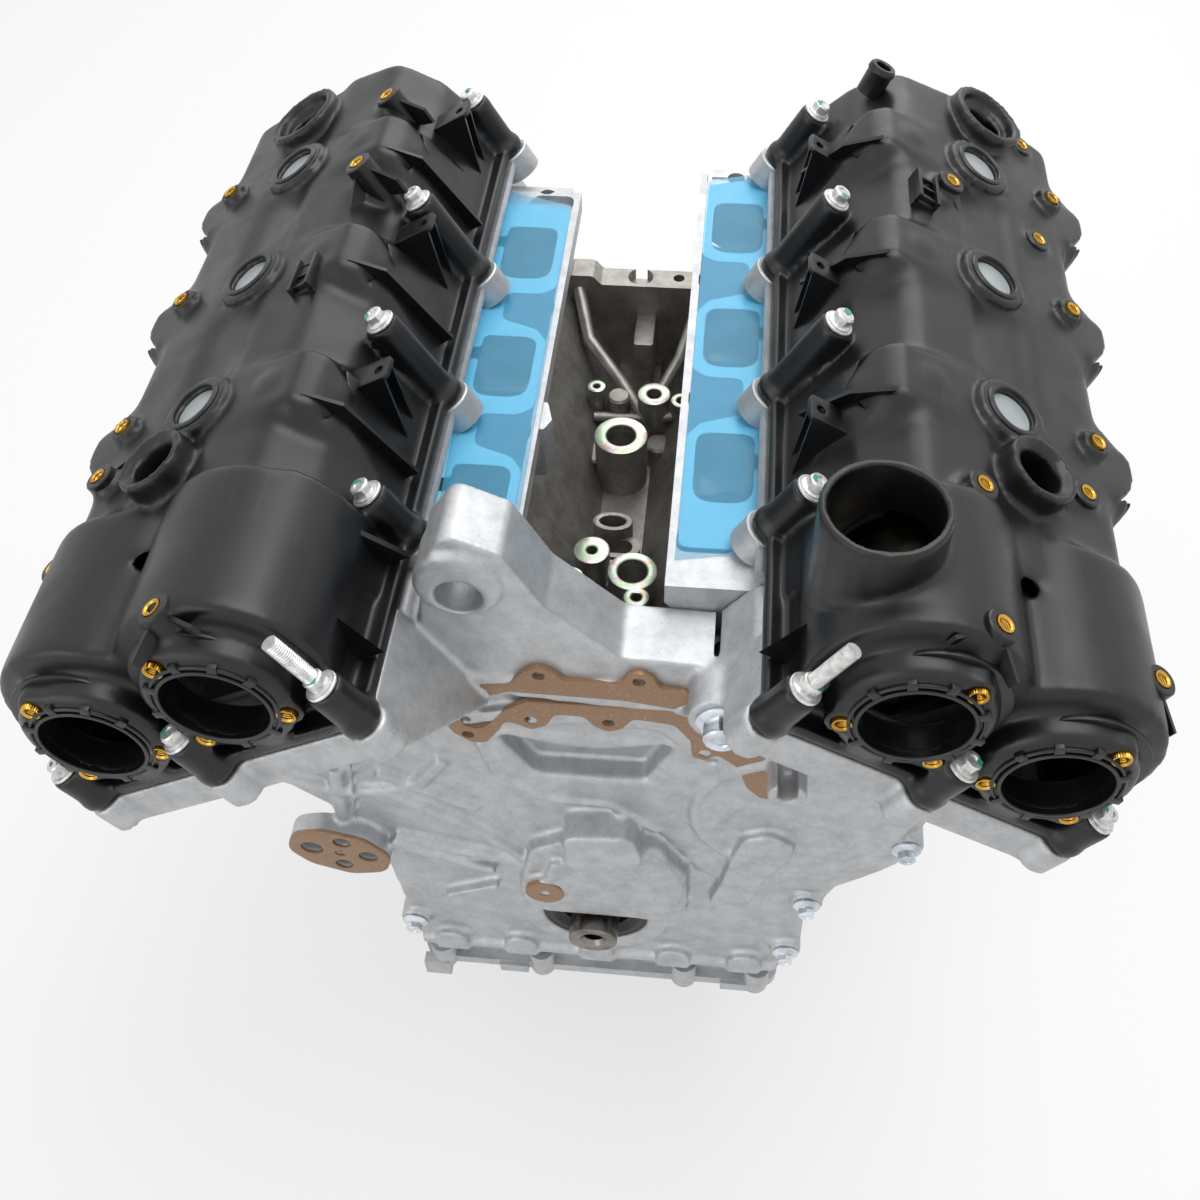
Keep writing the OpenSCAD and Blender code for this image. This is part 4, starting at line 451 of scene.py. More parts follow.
class Bank(Enum):
    """A cylinder bank, as the picture shows it from the front."""

    LEFT = -1
    RIGHT = 1

    @property
    def label(self) -> str:
        """The bank's name in node and piece names."""
        return self.name.lower()

    @property
    def first_bore(self) -> float:
        """Place of the front cylinder along the engine."""
        return -310.0 if self is Bank.LEFT else -283.0

    @property
    def bores(self) -> list[float]:
        """Places of the three cylinders along the engine."""
        return [self.first_bore + BORE_PITCH * k for k in range(3)]

    @property
    def cover_front(self) -> float:
        """Front end of the cam cover along the engine."""
        return -475.4 if self is Bank.LEFT else -459.4

    @property
    def axes(self) -> Matrix:
        """Maps (across, along, up) in millimetres to the row frame in metres."""
        side, lean = self.value, math.sin(HALF_VEE)
        rise = math.cos(HALF_VEE)
        turn = Matrix(((side * rise, 0, side * lean, 0), (0, 1, 0, 0), (-lean, 0, rise, 0), (0, 0, 0, 1)))
        return Matrix.Diagonal((MM, MM, MM, 1)) @ turn

    def at(self, across: float, along: float, up: float) -> Matrix:
        """A frame at that place whose local Z runs up the cylinders."""
        return self.axes @ Matrix.Translation((across, along, up))

    def facing_front(self, across: float, along: float, up: float) -> Matrix:
        """A frame at that place whose local Z points to the front of the engine."""
        return self.at(across, along, up) @ Matrix.Rotation(math.pi / 2, 4, "X")


def row_at(x: float, y: float, z: float) -> Matrix:
    """A frame in the row frame's own directions, in millimetres, at that place."""
    return Matrix.Diagonal((MM, MM, MM, 1)) @ Matrix.Translation((x, y, z))


def row_facing_front(x: float, y: float, z: float) -> Matrix:
    """A frame at that place whose local Z points to the front of the engine."""
    return row_at(x, y, z) @ Matrix.Rotation(math.pi / 2, 4, "X")


def spoke(radius: float, step: int, steps: int) -> Point:
    """The point at that step of a circle."""
    angle = 2 * math.pi * step / steps
    return radius * math.cos(angle), radius * math.sin(angle)


class Workpiece:
    """A mesh under construction from turned, sawn and bent shapes."""

    def __init__(self) -> None:
        """Starts with nothing on the bench."""
        self.mesh = bmesh.new()

    def _place(self, verts: list, where: Matrix) -> None:
        """Moves new points from the shape's own frame to the row frame."""
        bmesh.ops.transform(self.mesh, matrix=where, verts=verts)

    def turned(
        self, profile: Sequence[Point], where: Matrix, steps: int = 48, wobble: list[float] | None = None
    ) -> None:
        """Turns a closed profile round local Z.

        Args:
            profile: (radius, height) round the section.
            where: Frame of the axis.
            steps: Steps round the axis.
            wobble: Per profile point, how much its radius waves with the step (a knurl).
        """
        rings = []
        for step in range(steps):
            waves = wobble if wobble and step % 2 else [0] * len(profile)
            rings.append(
                [self.mesh.verts.new((*spoke(r + w, step, steps), z)) for (r, z), w in zip(profile, waves)]
            )
        count = len(profile)
        for step in range(steps):
            here, there = rings[step], rings[(step + 1) % steps]
            for index in range(count):
                nxt = (index + 1) % count
                self.mesh.faces.new((here[index], there[index], there[nxt], here[nxt]))
        verts = [v for ring in rings for v in ring]
        self._place(verts, where)
        bmesh.ops.remove_doubles(self.mesh, verts=verts, dist=0.002 * MM)

    def sawn(
        self, outline: Sequence[Point], low: float, high: float, where: Matrix,
        holes: Sequence[Sequence[Point]] = (), ease: float = 0.0
    ) -> None:
        """Saws a plate from an outline, with holes, and eases its edges.

        Args:
            outline: Corners of the plate in local X and Y.
            low: Lower face in local Z.
            high: Upper face in local Z.
            where: Frame of the plate.
            holes: Corners of each hole.
            ease: Width of the eased edge.
        """
        edges = []
        for loop in [outline, *holes]:
            verts = [self.mesh.verts.new((x, y, low)) for x, y in loop]
            edges += [self.mesh.edges.new((verts[i], verts[(i + 1) % len(verts)])) for i in range(len(verts))]
        filled = bmesh.ops.triangle_fill(self.mesh, edges=edges, use_beauty=True, use_dissolve=False)["geom"]
        faces = [f for f in filled if isinstance(f, bmesh.types.BMFace)]
        raised = bmesh.ops.extrude_face_region(self.mesh, geom=faces)["geom"]
        top = [v for v in raised if isinstance(v, bmesh.types.BMVert)]
        bmesh.ops.translate(self.mesh, verts=top, vec=(0, 0, high - low))
        every = list({v for e in edges for v in e.verts} | {v for f in faces for v in f.verts} | set(top))
        if ease > 0:
            near = {f for v in every for f in v.link_faces}
            bmesh.ops.recalc_face_normals(self.mesh, faces=list(near))
            sharp = [
                e for e in {e for f in near for e in f.edges} if e.is_manifold and e.calc_face_angle(0) > 0.5
            ]
            done = bmesh.ops.bevel(self.mesh, geom=sharp, offset=ease, segments=2, profile=0.6, affect="EDGES")
            every = list({v for v in every if v.is_valid} | set(done["verts"]))
        self._place(every, where)

    def bent(self, path: list[Vector], radius: float, where: Matrix, sides: int = 14) -> None:
        """Bends a round bar along a path.

        Args:
            path: Points of the centre line.
            radius: Radius of the bar.
            where: Frame of the path.
            sides: Sides of the section.
        """
        rings = []
        for index, point in enumerate(path):
            ahead = path[min(index + 1, len(path) - 1)] - path[max(index - 1, 0)]
            turn = ahead.to_track_quat("Z", "Y")
            rim = [turn @ Vector((*spoke(radius, k, sides), 0)) for k in range(sides)]
            rings.append([self.mesh.verts.new(point + offset) for offset in rim])
        self._bar(rings, where)

    def _bar(self, rings: list[list], where: Matrix) -> None:
        """Joins a run of rings to a closed bar."""
        for here, there in zip(rings, rings[1:]):
            for k in range(len(here)):
                nxt = (k + 1) % len(here)
                self.mesh.faces.new((here[k], here[nxt], there[nxt], there[k]))
        self.mesh.faces.new(rings[0][::-1])
        self.mesh.faces.new(rings[-1])
        self._place([v for ring in rings for v in ring], where)

    def webbed(self, corners: list[Place], thickness: float, where: Matrix) -> None:
        """Sets up a flat web through three or more corners.

        Args:
            corners: Corners of the web, in the frame's own directions.
            thickness: Thickness across the web.
            where: Frame of the corners.
        """
        points = [Vector(c) for c in corners]
        half = (points[1] - points[0]).cross(points[2] - points[0]).normalized() * thickness / 2
        near, far = ([self.mesh.verts.new(p + half * side) for p in points] for side in (-1, 1))
        self.mesh.faces.new(near[::-1])
        self.mesh.faces.new(far)
        for k in range(len(points)):
            nxt = (k + 1) % len(points)
            self.mesh.faces.new((near[k], near[nxt], far[nxt], far[k]))
        self._place(near + far, where)

    def threaded(
        self, radius: float, depth: float, pitch: float, length: float, where: Matrix, steps: int = 24
    ) -> None:
        """Cuts a screw thread up local Z.

        Args:
            radius: Crest radius.
            depth: Depth of the groove.
            pitch: Rise in one turn.
            length: Length of the thread.
            where: Frame of the screw.
            steps: Steps round the axis.
        """
        rows = int(length / pitch * 4)
        grid = []
        for row in range(rows + 1):
            height = length * row / rows
            phases = [(height / pitch - step / steps) % 1 for step in range(steps)]
            radii = [radius - depth * abs(2 * phase - 1) for phase in phases]
            grid.append([self.mesh.verts.new((*spoke(r, step, steps), height)) for step, r in enumerate(radii)])
        self._bar(grid, where)

    def done(
        self, name: str, finish: Finish, slot: str, body: str = ROOT_BODY, stands_for: tuple[str, ...] = ()
    ) -> bpy.types.Object:
        """Takes the piece off the bench as an object that rides on its body.

        Args:
            name, finish, body, stands_for: As in fitted().
            slot: Not used.

        Returns:
            The finished object.
        """
        bmesh.ops.recalc_face_normals(self.mesh, faces=self.mesh.faces[:])
        return fitted(name, meshed(name, self.mesh), finish, body, stands_for)


def fitted(
    name: str, data: bpy.types.Mesh, finish: Finish,
    body: str = ROOT_BODY, stands_for: tuple[str, ...] = (), crease: float = 32.0,
) -> bpy.types.Object:
    """Makes a piece of a mesh and fits it to the frame.

    Args:
        name: Name of the piece.
        data: Its mesh, in the row frame.
        finish: What its surface is.
        body: The CAD body it moves with.
        stands_for: CAD nodes that it replaces.
        crease: Angle in degrees above which an edge stays sharp.

    Returns:
        The piece.
    """
    piece = linked(name, data)
    data.shade_smooth()
    data.set_sharp_from_angle(angle=math.radians(crease))
    data.materials.clear()
    data.materials.append(finish.material())
    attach(piece, body)
    if stands_for:
        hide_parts(*stands_for)
    log.info("%s: %d faces", name, len(data.polygons))
    return piece


def circle(radius: float, steps: int = 32, x: float = 0.0, y: float = 0.0) -> list[Point]:
    """Corners of a circle."""
    return [(x + across, y + along) for across, along in (spoke(radius, k, steps) for k in range(steps))]


def box(left: float, low: float, right: float, high: float) -> list[Point]:
    """Corners of a rectangle."""
    return [(left, low), (right, low), (right, high), (left, high)]


def on_side(side: int, outline: Sequence[Point], across: float = 0.0, along: float = 0.0) -> list[Point]:
    """An outline moved across and along, and set on the left (-1) or right (1) bank."""
    return [(side * (across + x), y + along) for x, y in outline]


def rounded(corners: Sequence[Point], radius: float | tuple[float, ...], steps: int = 4) -> list[Point]:
    """Rounds every corner of an outline.

    Args:
        corners: The outline.
        radius: Radius at each corner, or one for each; less where a side is short.
        steps: Steps round a corner.

    Returns:
        The rounded outline.
    """
    out = []
    count = len(corners)
    radii = radius if isinstance(radius, tuple) else (radius,) * count
    for i, corner in enumerate(corners):
        here = Vector(corner)
        before = Vector(corners[i - 1]) - here
        after = Vector(corners[(i + 1) % count]) - here
        opening = before.angle(after)
        reach = min(radii[i] / max(math.tan(opening / 2), 0.05), before.length * 0.48, after.length * 0.48)
        start, end = here + before.normalized() * reach, here + after.normalized() * reach
        for k in range(steps + 1):
            t = k / steps
            p = start * (1 - t) ** 2 + here * 2 * t * (1 - t) + end * t**2
            out.append((p.x, p.y))
    return out


@dataclass
class Casting:
    """A moulded or cast CAD body, remade with the soft fillets of its mould.

    The CAD solid has sharp edges. A voxel skin of the same solid is smoothed, which rounds
    every edge and fills every inner corner by about two voxels.
    """

    node: str
    piece: str
    finish: Finish
    slot: str
    voxel: float = 2.0
    passes: int = 6
    body: str = ROOT_BODY
    face_limit: int = 190000

    def build(self) -> bpy.types.Object:
        """Makes the piece and hides its CAD node."""
        mould = bmesh.new()
        mould.from_mesh(frame["nodes"][self.node].data)
        extra = Workpiece()
        self.add_forms(extra)
        bmesh.ops.recalc_face_normals(extra.mesh, faces=extra.mesh.faces[:])
        mould.from_mesh(meshed(self.piece + "_forms", extra.mesh))
        work = linked(self.piece + "_work", meshed(self.piece + "_work", mould))
        skin = work.modifiers.new("skin", "REMESH")
        skin.mode = "VOXEL"
        skin.voxel_size = self.voxel * MM
        soft = work.modifiers.new("fillets", "SMOOTH")
        soft.factor = 0.5
        soft.iterations = self.passes
        data = self._worked(work)
        if len(data.polygons) > self.face_limit:
            data = self._thinned(data)
        self.shape(data)
        return fitted(self.piece, data, self.finish, self.body, (self.node,), crease=70.0)

    def _thinned(self, data: bpy.types.Mesh) -> bpy.types.Mesh:
        """A skin with fewer faces and the same form."""
        work = linked(self.piece + "_thin", data)
        thin = work.modifiers.new("thin", "DECIMATE")
        thin.ratio = self.face_limit / (2 * len(data.polygons))
        return self._worked(work)

    def _worked(self, work: bpy.types.Object) -> bpy.types.Mesh:
        """The mesh that the modifiers of a scratch object make of it."""
        made = bpy.data.meshes.new_from_object(work.evaluated_get(bpy.context.evaluated_depsgraph_get()))
        bpy.data.objects.remove(work)
        return made

    def add_forms(self, extra: Workpiece) -> None:
        """Adds closed forms that the skin takes in. A plain casting needs none."""

    def shape(self, data: bpy.types.Mesh) -> None:
        """Moves the skin where the mould's form asks for it. A plain casting needs none."""


# ---------------------------------------------------------------- cam covers


INNER_BOLTS: dict[Bank, Outline] = {
    Bank.LEFT: ((-48, 353), (55, 376), (162, 376), (292, 358)),
    Bank.RIGHT: ((-55, 353), (44, 376), (151, 376), (266, 358)),
}
SECTION_ACROSS = (-78, -76, -68, -50, -16, 26, 66, 81, 85)
SECTION_UP = (330, 344, 374, 399, 404, 405, 404, 384, 344)
BLOCK_ACROSS = (-76, -70, -62, -30, -22)
BLOCK_UP = (366, 393, 402, 404, 404)


def upright_inserts(bank: Bank) -> list[Place]:
    """Places (across, along, top) of the inserts that face up the cylinders."""
    first = bank.first_bore
    edge = [(57.0, bore + 9, 410.0) for bore in bank.bores]
    if bank is Bank.LEFT:
        extra = [(-37, -147, 412.5), (54, -31, 412), (82, -72, 399), (-61, 169, 410), (-57, 252, 404)]
    else:
        extra = [
            (-27, -151, 414.5), (-26, -67, 411), (44, -33, 409), (71, -134, 409), (-24, 174, 410),
            (41, 170, 408), (40, 267, 408)
        ]
    return edge + [(v, first + y, u) for v, y, u in extra]


def ramp(value: np.ndarray, start: float, end: float) -> np.ndarray:
    """Smooth rise from 0 at start to 1 at end."""
    t = np.clip((value - start) / (end - start), 0, 1)
    return t * t * (3 - 2 * t)


def section_up(across: np.ndarray) -> np.ndarray:
    """Height of the cover's plain section over the place across the bank."""
    return np.interp(across, SECTION_ACROSS, SECTION_UP)


@dataclass
class CoverShell(Casting):
    """The cover's own skin, with the mould's bulges over each cylinder and its soft shoulders."""

    bank: Bank = Bank.LEFT
    block_half: float = 19.0
    floor: tuple[float, float, float] = (82.0, 384.5, 391.5)
    drum_start: Point = (14.0, 22.0)
    drum_end: Point = (118.0, 130.0)
    dome_share: float = 0.6
    dome_from: float = 352.0
    flange_top: float = 335.0
    relax_rounds: int = 22

    def shape(self, data: bpy.types.Mesh) -> None:
        """Presses the mould's form into the skin.

        Args:
            data: The voxel skin, in the row frame.
        """
        count = len(data.vertices)
        flat = np.empty(count * 3, np.float32)
        data.vertices.foreach_get("co", flat)
        to_bank = np.array(self.bank.axes.inverted())
        place = flat.reshape(-1, 3) @ to_bank[:3, :3].T
        normal = np.empty(count * 3, np.float32)
        data.vertices.foreach_get("normal", normal)
        normal = normal.reshape(-1, 3) @ to_bank[:3, :3].T * MM
        self._square_blocks(place, normal)
        self._relax(data, place)
        back = np.array(self.bank.axes)[:3, :3]
        data.vertices.foreach_set("co", (place @ back.T).astype(np.float32).ravel())
        data.update()

    def add_forms(self, extra: Workpiece) -> None:
        """Thickens the floor between the two drums, where the CAD wall is thin."""
        behind, low, high = self.floor
        extra.sawn(box(-14, -20, 34, 20), low, high, self.bank.at(0, self.bank.cover_front + behind, 0))

    def _square_blocks(self, place: np.ndarray, normal: np.ndarray) -> None:
        """Squares the dome over each cylinder into a soft-edged block on the valley side."""
        across, along, up = place.T.copy()
        outside = (normal[:, 2] > 0.05) & (up > section_up(across) - 6) & (up < 409) & (across > -76)
        target = np.interp(across, BLOCK_ACROSS, BLOCK_UP)
        for bore in self.bank.bores:
            middle = bore + 1
            pulse = ramp(along, middle - self.block_half - 12, middle - self.block_half + 4)
            pulse = pulse * (1 - ramp(along, middle + self.block_half, middle + self.block_half + 4))
            place[:, 2] += pulse * outside * np.maximum(target - up, 0)

    def _relax(self, data: bpy.types.Mesh, place: np.ndarray) -> None:
        """Softens the shoulders of the drums and blocks, and leaves bosses and rims crisp."""
        pairs = np.empty(len(data.edges) * 2, np.int32)
        data.edges.foreach_get("vertices", pairs)
        a, b = pairs.reshape(-1, 2).T
        valence = np.bincount(a, minlength=len(place)) + np.bincount(b, minlength=len(place))
        across, along, up = place.T
        behind = along - self.bank.cover_front
        shoulder = ramp(behind, *self.drum_start) * (1 - ramp(behind, *self.drum_end))
        weight = np.maximum(shoulder, self.dome_share * (up > self.dome_from)) * (up > self.flange_top)
        for v, y, radius in self._crisp_places():
            weight = weight * ramp(np.hypot(across - v, along - y), radius, radius + 5)
        for _ in range(self.relax_rounds):
            for axis in range(3):
                total = np.bincount(a, place[b, axis], len(place)) + np.bincount(b, place[a, axis], len(place))
                place[:, axis] += 0.5 * weight * (total / valence - place[:, axis])

    def _crisp_places(self) -> list[Place]:
        """Bosses, wells and collars that the softening leaves alone."""
        first = self.bank.first_bore
        places = [(1.0, bore, 23.0) for bore in self.bank.bores]
        places += [(v, y, 10.5) for v, y, _ in upright_inserts(self.bank)[:3]]
        places += [(10.0, first - 40, 22.0), (12.0, first + 272, 27.0)]
        bolts = sorted(y for line in INNER_BOLTS.values() for y, _ in line)
        places += [(-81.0, first + y, 11.0) for y in bolts]
        if self.bank is Bank.RIGHT:
            places.append((-87.0, first - 118, 32.0))
        return places


@dataclass
class CamCover:
    """A moulded cam cover with its lips, bosses, webs, tabs and stubs."""

    bank: Bank
    lip_inner: float = 24.6
    lip_outer: float = 29.6
    clip_angles: tuple[int, ...] = (-75, -42, -8, 40, 78, 112, 165, 205)
    boss_r: float = 8.3
    boss_length: float = 24.0
    short_boss: float = 13.0
    web_turn: Point = (-50.0, 138.0)
    web_radii: Point = (31.0, 33.0)
    web_rise: float = 8.5
    web_depths: Point = (-13.0, -10.6)
    well_rim: Outline = ((13.2, -3), (13.2, 0.6), (13.8, 1.2), (15.6, 1.2), (16.4, 0.4), (16.4, -3))
    tab_places: tuple[tuple[float, float], ...] = ()
    rack: Place = (-42, -223, 399)
    webs: tuple[tuple[Place, ...], ...] = ()
    stubs: tuple[tuple[Place, Place], ...] = ()

    def build(self) -> None:
        """Makes the shell and everything moulded on it."""
        label = self.bank.label
        CoverShell(
            f"cam_cover_{label}", f"cover_shell_{label}", NYLON, "moulded_cover", voxel=1.9, passes=7,
            bank=self.bank
        ).build()
        trim = Workpiece()
        for across in CAM_ACROSS:
            self._lip(trim, across)
            self._rim_web(trim, across)
        for place in upright_inserts(self.bank)[3:]:
            self._boss(trim, place)
        for bore in self.bank.bores:
            trim.turned(self.well_rim, self.bank.at(1, bore, 409), 56)
        for place in self.tab_places:
            self._tab(trim, *place)
        for web in self.webs:
            trim.webbed(list(web), 2.4, self.bank.at(0, 0, 0))
        for start, end in self.stubs:
            self._stub(trim, Vector(start), Vector(end))
        self._rack(trim)
        trim.done(f"cover_trim_{label}", NYLON, "moulded_cover")

    def _lip(self, trim: Workpiece, across: float) -> None:
        """Turns the double lip round a phaser opening, and sets the clips over its groove."""
        where = self.bank.facing_front(across, self.bank.cover_front, CAM_UP)
        inner, outer = self.lip_inner, self.lip_outer
        profile = [
            (inner, -14), (inner, 0.6), (inner + 0.4, 1.1), (inner + 1.6, 1.1), (inner + 2.0, 0.6),
            (inner + 2.0, -1.8)
        ]
        profile += [
            (inner + 3.2, -1.8), (inner + 3.2, -0.2), (inner + 3.6, 0.3), (outer - 0.5, 0.3), (outer, -0.2),
            (outer, -14)
        ]
        trim.turned(profile, where, 96)
        clip = [(inner + 1.2, -2.4), (outer + 2.2, -2.0), (outer + 2.2, 2.0), (inner + 1.2, 2.4)]
        for angle in self.clip_angles:
            turn = Matrix.Rotation(math.radians(90 - angle), 4, "Z")
            trim.sawn(clip, -3.4, 0.7, where @ turn, ease=0.35)

    def _rim_web(self, trim: Workpiece, across: float) -> None:
        """Saws the thin web that runs round the opening from boss to boss, tapered at its ends."""
        steps, (inside, outside) = 30, self.web_radii
        angles = np.radians(np.linspace(*self.web_turn, steps))
        radii = outside + self.web_rise * np.sin(np.linspace(0, math.pi, steps)) ** 0.5
        outer = [(r * math.sin(a), r * math.cos(a)) for a, r in zip(angles, radii)]
        inner = [(inside * math.sin(a), inside * math.cos(a)) for a in angles[::-1]]
        where = self.bank.facing_front(across, self.bank.cover_front, CAM_UP)
        trim.sawn(outer + inner, *self.web_depths, where, ease=0.5)

    def _boss(self, trim: Workpiece, place: Place) -> None:
        """Turns the boss of one insert, with its draft and two short webs."""
        across, along, up = place
        over_cam = min(abs(across - cam) for cam in CAM_ACROSS) < 20 or along < self.bank.cover_front + 110
        r, deep = self.boss_r, self.short_boss if over_cam else self.boss_length
        profile = [(4.7, -10), (4.7, -0.2), (5.0, 0.1), (r - 0.8, 0.1), (r, -0.6), (r + 0.9, -deep), (2, -deep)]
        where = self.bank.at(across, along, up)
        trim.turned(profile + [(2, -10)], where, 40)
        for turn in (0.5, 2.1):
            ahead = Vector((math.cos(turn), math.sin(turn), 0)) * (1 if 0 < across < 60 else -1)
            low = ahead * (r + 15)
            trim.webbed(
                [
                    (ahead.x * r * 0.8, ahead.y * r * 0.8, -4), (low.x, low.y, -deep * 0.6),
                    (low.x, low.y, -deep), (0, 0, -deep)
                ],
                2.0, where
            )

    def _tab(self, trim: Workpiece, along: float, up: float) -> None:
        """A flat plate with an eye that stands out over the flange, on two webs."""
        where = self.bank.at(-82, along, up)
        trim.sawn(rounded(box(-11, -8, 14, 8), 3), -1.4, 1.4, where, [circle(2.6, 20, -4.5, 0)], 0.4)
        for side in (-7, 7):
            trim.webbed([(-9, side, 0), (12, side, 0), (12, side, -36), (6, side, -40)], 2.2, where)

    def _rack(self, trim: Workpiece) -> None:
        """A short ribbed channel that holds a wire."""
        where = self.bank.at(*self.rack)
        trim.sawn(box(-7, -13, 7, 13), -6, 1.5, where, ease=0.5)
        for side in (-6, 6):
            trim.sawn(box(side - 1.2, -13, side + 1.2, 13), 0, 6, where, ease=0.4)
        for step in (-9, 0, 9):
            trim.sawn(box(-6, step - 1, 6, step + 1), 0, 4, where, ease=0.3)

    def _stub(self, trim: Workpiece, start: Vector, end: Vector) -> None:
        """A breather stub: an open tube with a bead round its mouth."""
        length = (end - start).length
        where = self.bank.at(*start) @ (end - start).to_track_quat("Z", "Y").to_matrix().to_4x4()
        profile = [
            (5, 0), (8, 0), (8, length - 5), (8.8, length - 3.5), (8.4, length - 1), (7.6, length),
            (5.6, length), (5, length - 0.6)
        ]
        trim.turned(profile, where, 36)


# ---------------------------------------------------------------- fasteners


@dataclass
class CoverBolts:
    """Flanged bolts of the cam covers, each with its wide washer and a dab of teal paint."""

    hex_r: float = 5.4
    washer_r: float = 8.2
    head_h: float = 5.2
    thread: tuple[float, float, float, float] = (4.0, 0.6, 1.25, 29.0)
    outer_line: tuple[Place, ...] = ((92.5, -48, 334), (92.5, 58, 334), (92.5, 164, 334), (92.5, 262, 334))
    front_line: tuple[Place, ...] = ((7.0, 3, 346), (91.0, 7.5, 344), (-80.0, 8, 347))

    def build(self) -> None:
        """Makes all the bolts as one piece, and the paint as another."""
        bolts, paint = Workpiece(), Workpiece()
        dice = random.Random(7)
        for bank in Bank:
            for place in self._seats(bank):
                seat = bank.at(*place)
                self._bolt(bolts, seat, dice)
                self._dab(paint, seat, dice)
            bolts.threaded(*self.thread, seat @ Matrix.Translation((0, 0, 6)))
        bolts.done("cover_bolts_detailed", ZINC, "zinc", stands_for=("cam_cover_bolts",))
        paint.done("bolt_paint_marks", MARK, "zinc")

    def _seats(self, bank: Bank) -> list[Place]:
        """Seats of the cover's bolts; the last is the stud at the front, which has a thread on it."""
        first, front = bank.first_bore, bank.cover_front
        seats = [(-81.0, first + y, u) for y, u in INNER_BOLTS[bank]]
        seats += [(v, first + y, u) for v, y, u in self.outer_line]
        return seats + [(v, front + y, u) for v, y, u in self.front_line]

    def _bolt(self, bolts: Workpiece, seat: Matrix, dice: random.Random) -> None:
        """One bolt: shank, wide washer, flange and chamfered hexagon."""
        bolts.turned([(0, -10), (3.1, -10), (3.1, 0), (0, 0)], seat, 16)
        washer, hexagon = self.washer_r, self.hex_r
        bolts.turned(
            [(3, 0), (washer - 0.4, 0), (washer, 0.4), (washer, 1.2), (washer - 0.4, 1.6), (3, 1.7)], seat, 40
        )
        bolts.turned(
            [(3, 1.7), (hexagon + 1.3, 1.7), (hexagon + 1.4, 2.4), (hexagon - 0.4, 3.2), (3, 3.2)], seat, 40
        )
        turn = seat @ Matrix.Rotation(dice.uniform(0, math.pi), 4, "Z")
        flat = circle(hexagon, 6)
        top = self.head_h + 2.6
        bolts.sawn(flat, 3.0, top - 0.7, turn, ease=0.15)
        bolts.turned(
            [
                (0, top - 0.72), (hexagon - 0.35, top - 0.72), (hexagon - 1.1, top), (2.6, top),
                (2.0, top - 1.1), (0, top - 1.2)
            ],
            turn, 36
        )

    def _dab(self, paint: Workpiece, seat: Matrix, dice: random.Random) -> None:
        """A thin irregular dab over the hexagon's rim."""
        angle = dice.uniform(0, 2 * math.pi)
        steps = 14
        rim = [(2 * math.pi * k / steps, dice.uniform(1.2, 1.9)) for k in range(steps)]
        blob = [(r * math.cos(a), r * 1.5 * math.sin(a)) for a, r in rim]
        where = seat @ Matrix.Rotation(angle, 4, "Z") @ Matrix.Translation((3.2, 0, self.head_h + 2.55))
        paint.sawn(blob, 0, 0.16, where)


@dataclass
class BrassInserts:
    """Knurled brass inserts, pressed into the cover's bosses and standing a little proud."""

    radius: float = 4.7
    bore: float = 2.9
    length: float = 9.0
    proud: float = 0.7
    lip_r: float = 31.5
    lip_angles: tuple[float, ...] = (14.0, 128.0, -128.0)

    def build(self) -> None:
        """Makes all the inserts as one piece."""
        brass = Workpiece()
        for bank in Bank:
            for across in CAM_ACROSS:
                for angle in self.lip_angles:
                    a = math.radians(angle)
                    v, u = across + self.lip_r * math.sin(a), CAM_UP + self.lip_r * math.cos(a)
                    self._insert(brass, bank.facing_front(v, bank.cover_front + 1, u))
            for place in upright_inserts(bank):
                self._insert(brass, bank.at(*place))
        brass.done("brass_inserts_knurled", BRASS, "brass", stands_for=("brass_inserts",))

    def _insert(self, brass: Workpiece, where: Matrix) -> None:
        """One insert: knurled wall, chamfered rim and a threaded bore."""
        top, wall, bore = self.proud, self.radius, self.bore
        profile = [
            (bore, -self.length + 0.6), (wall, -self.length + 0.6), (wall, top - 0.9), (wall - 0.25, top),
            (bore + 0.7, top), (bore, top - 0.7)
        ]
        profile += [(bore + (0.35 if k % 2 else 0), top - 1.1 - 0.5 * k) for k in range(9)]
        wobble = [0.0, -0.3, -0.3, -0.1] + [0.0] * (len(profile) - 4)
        brass.turned(profile, where, 56, wobble)


# ---------------------------------------------------------------- front of the engine


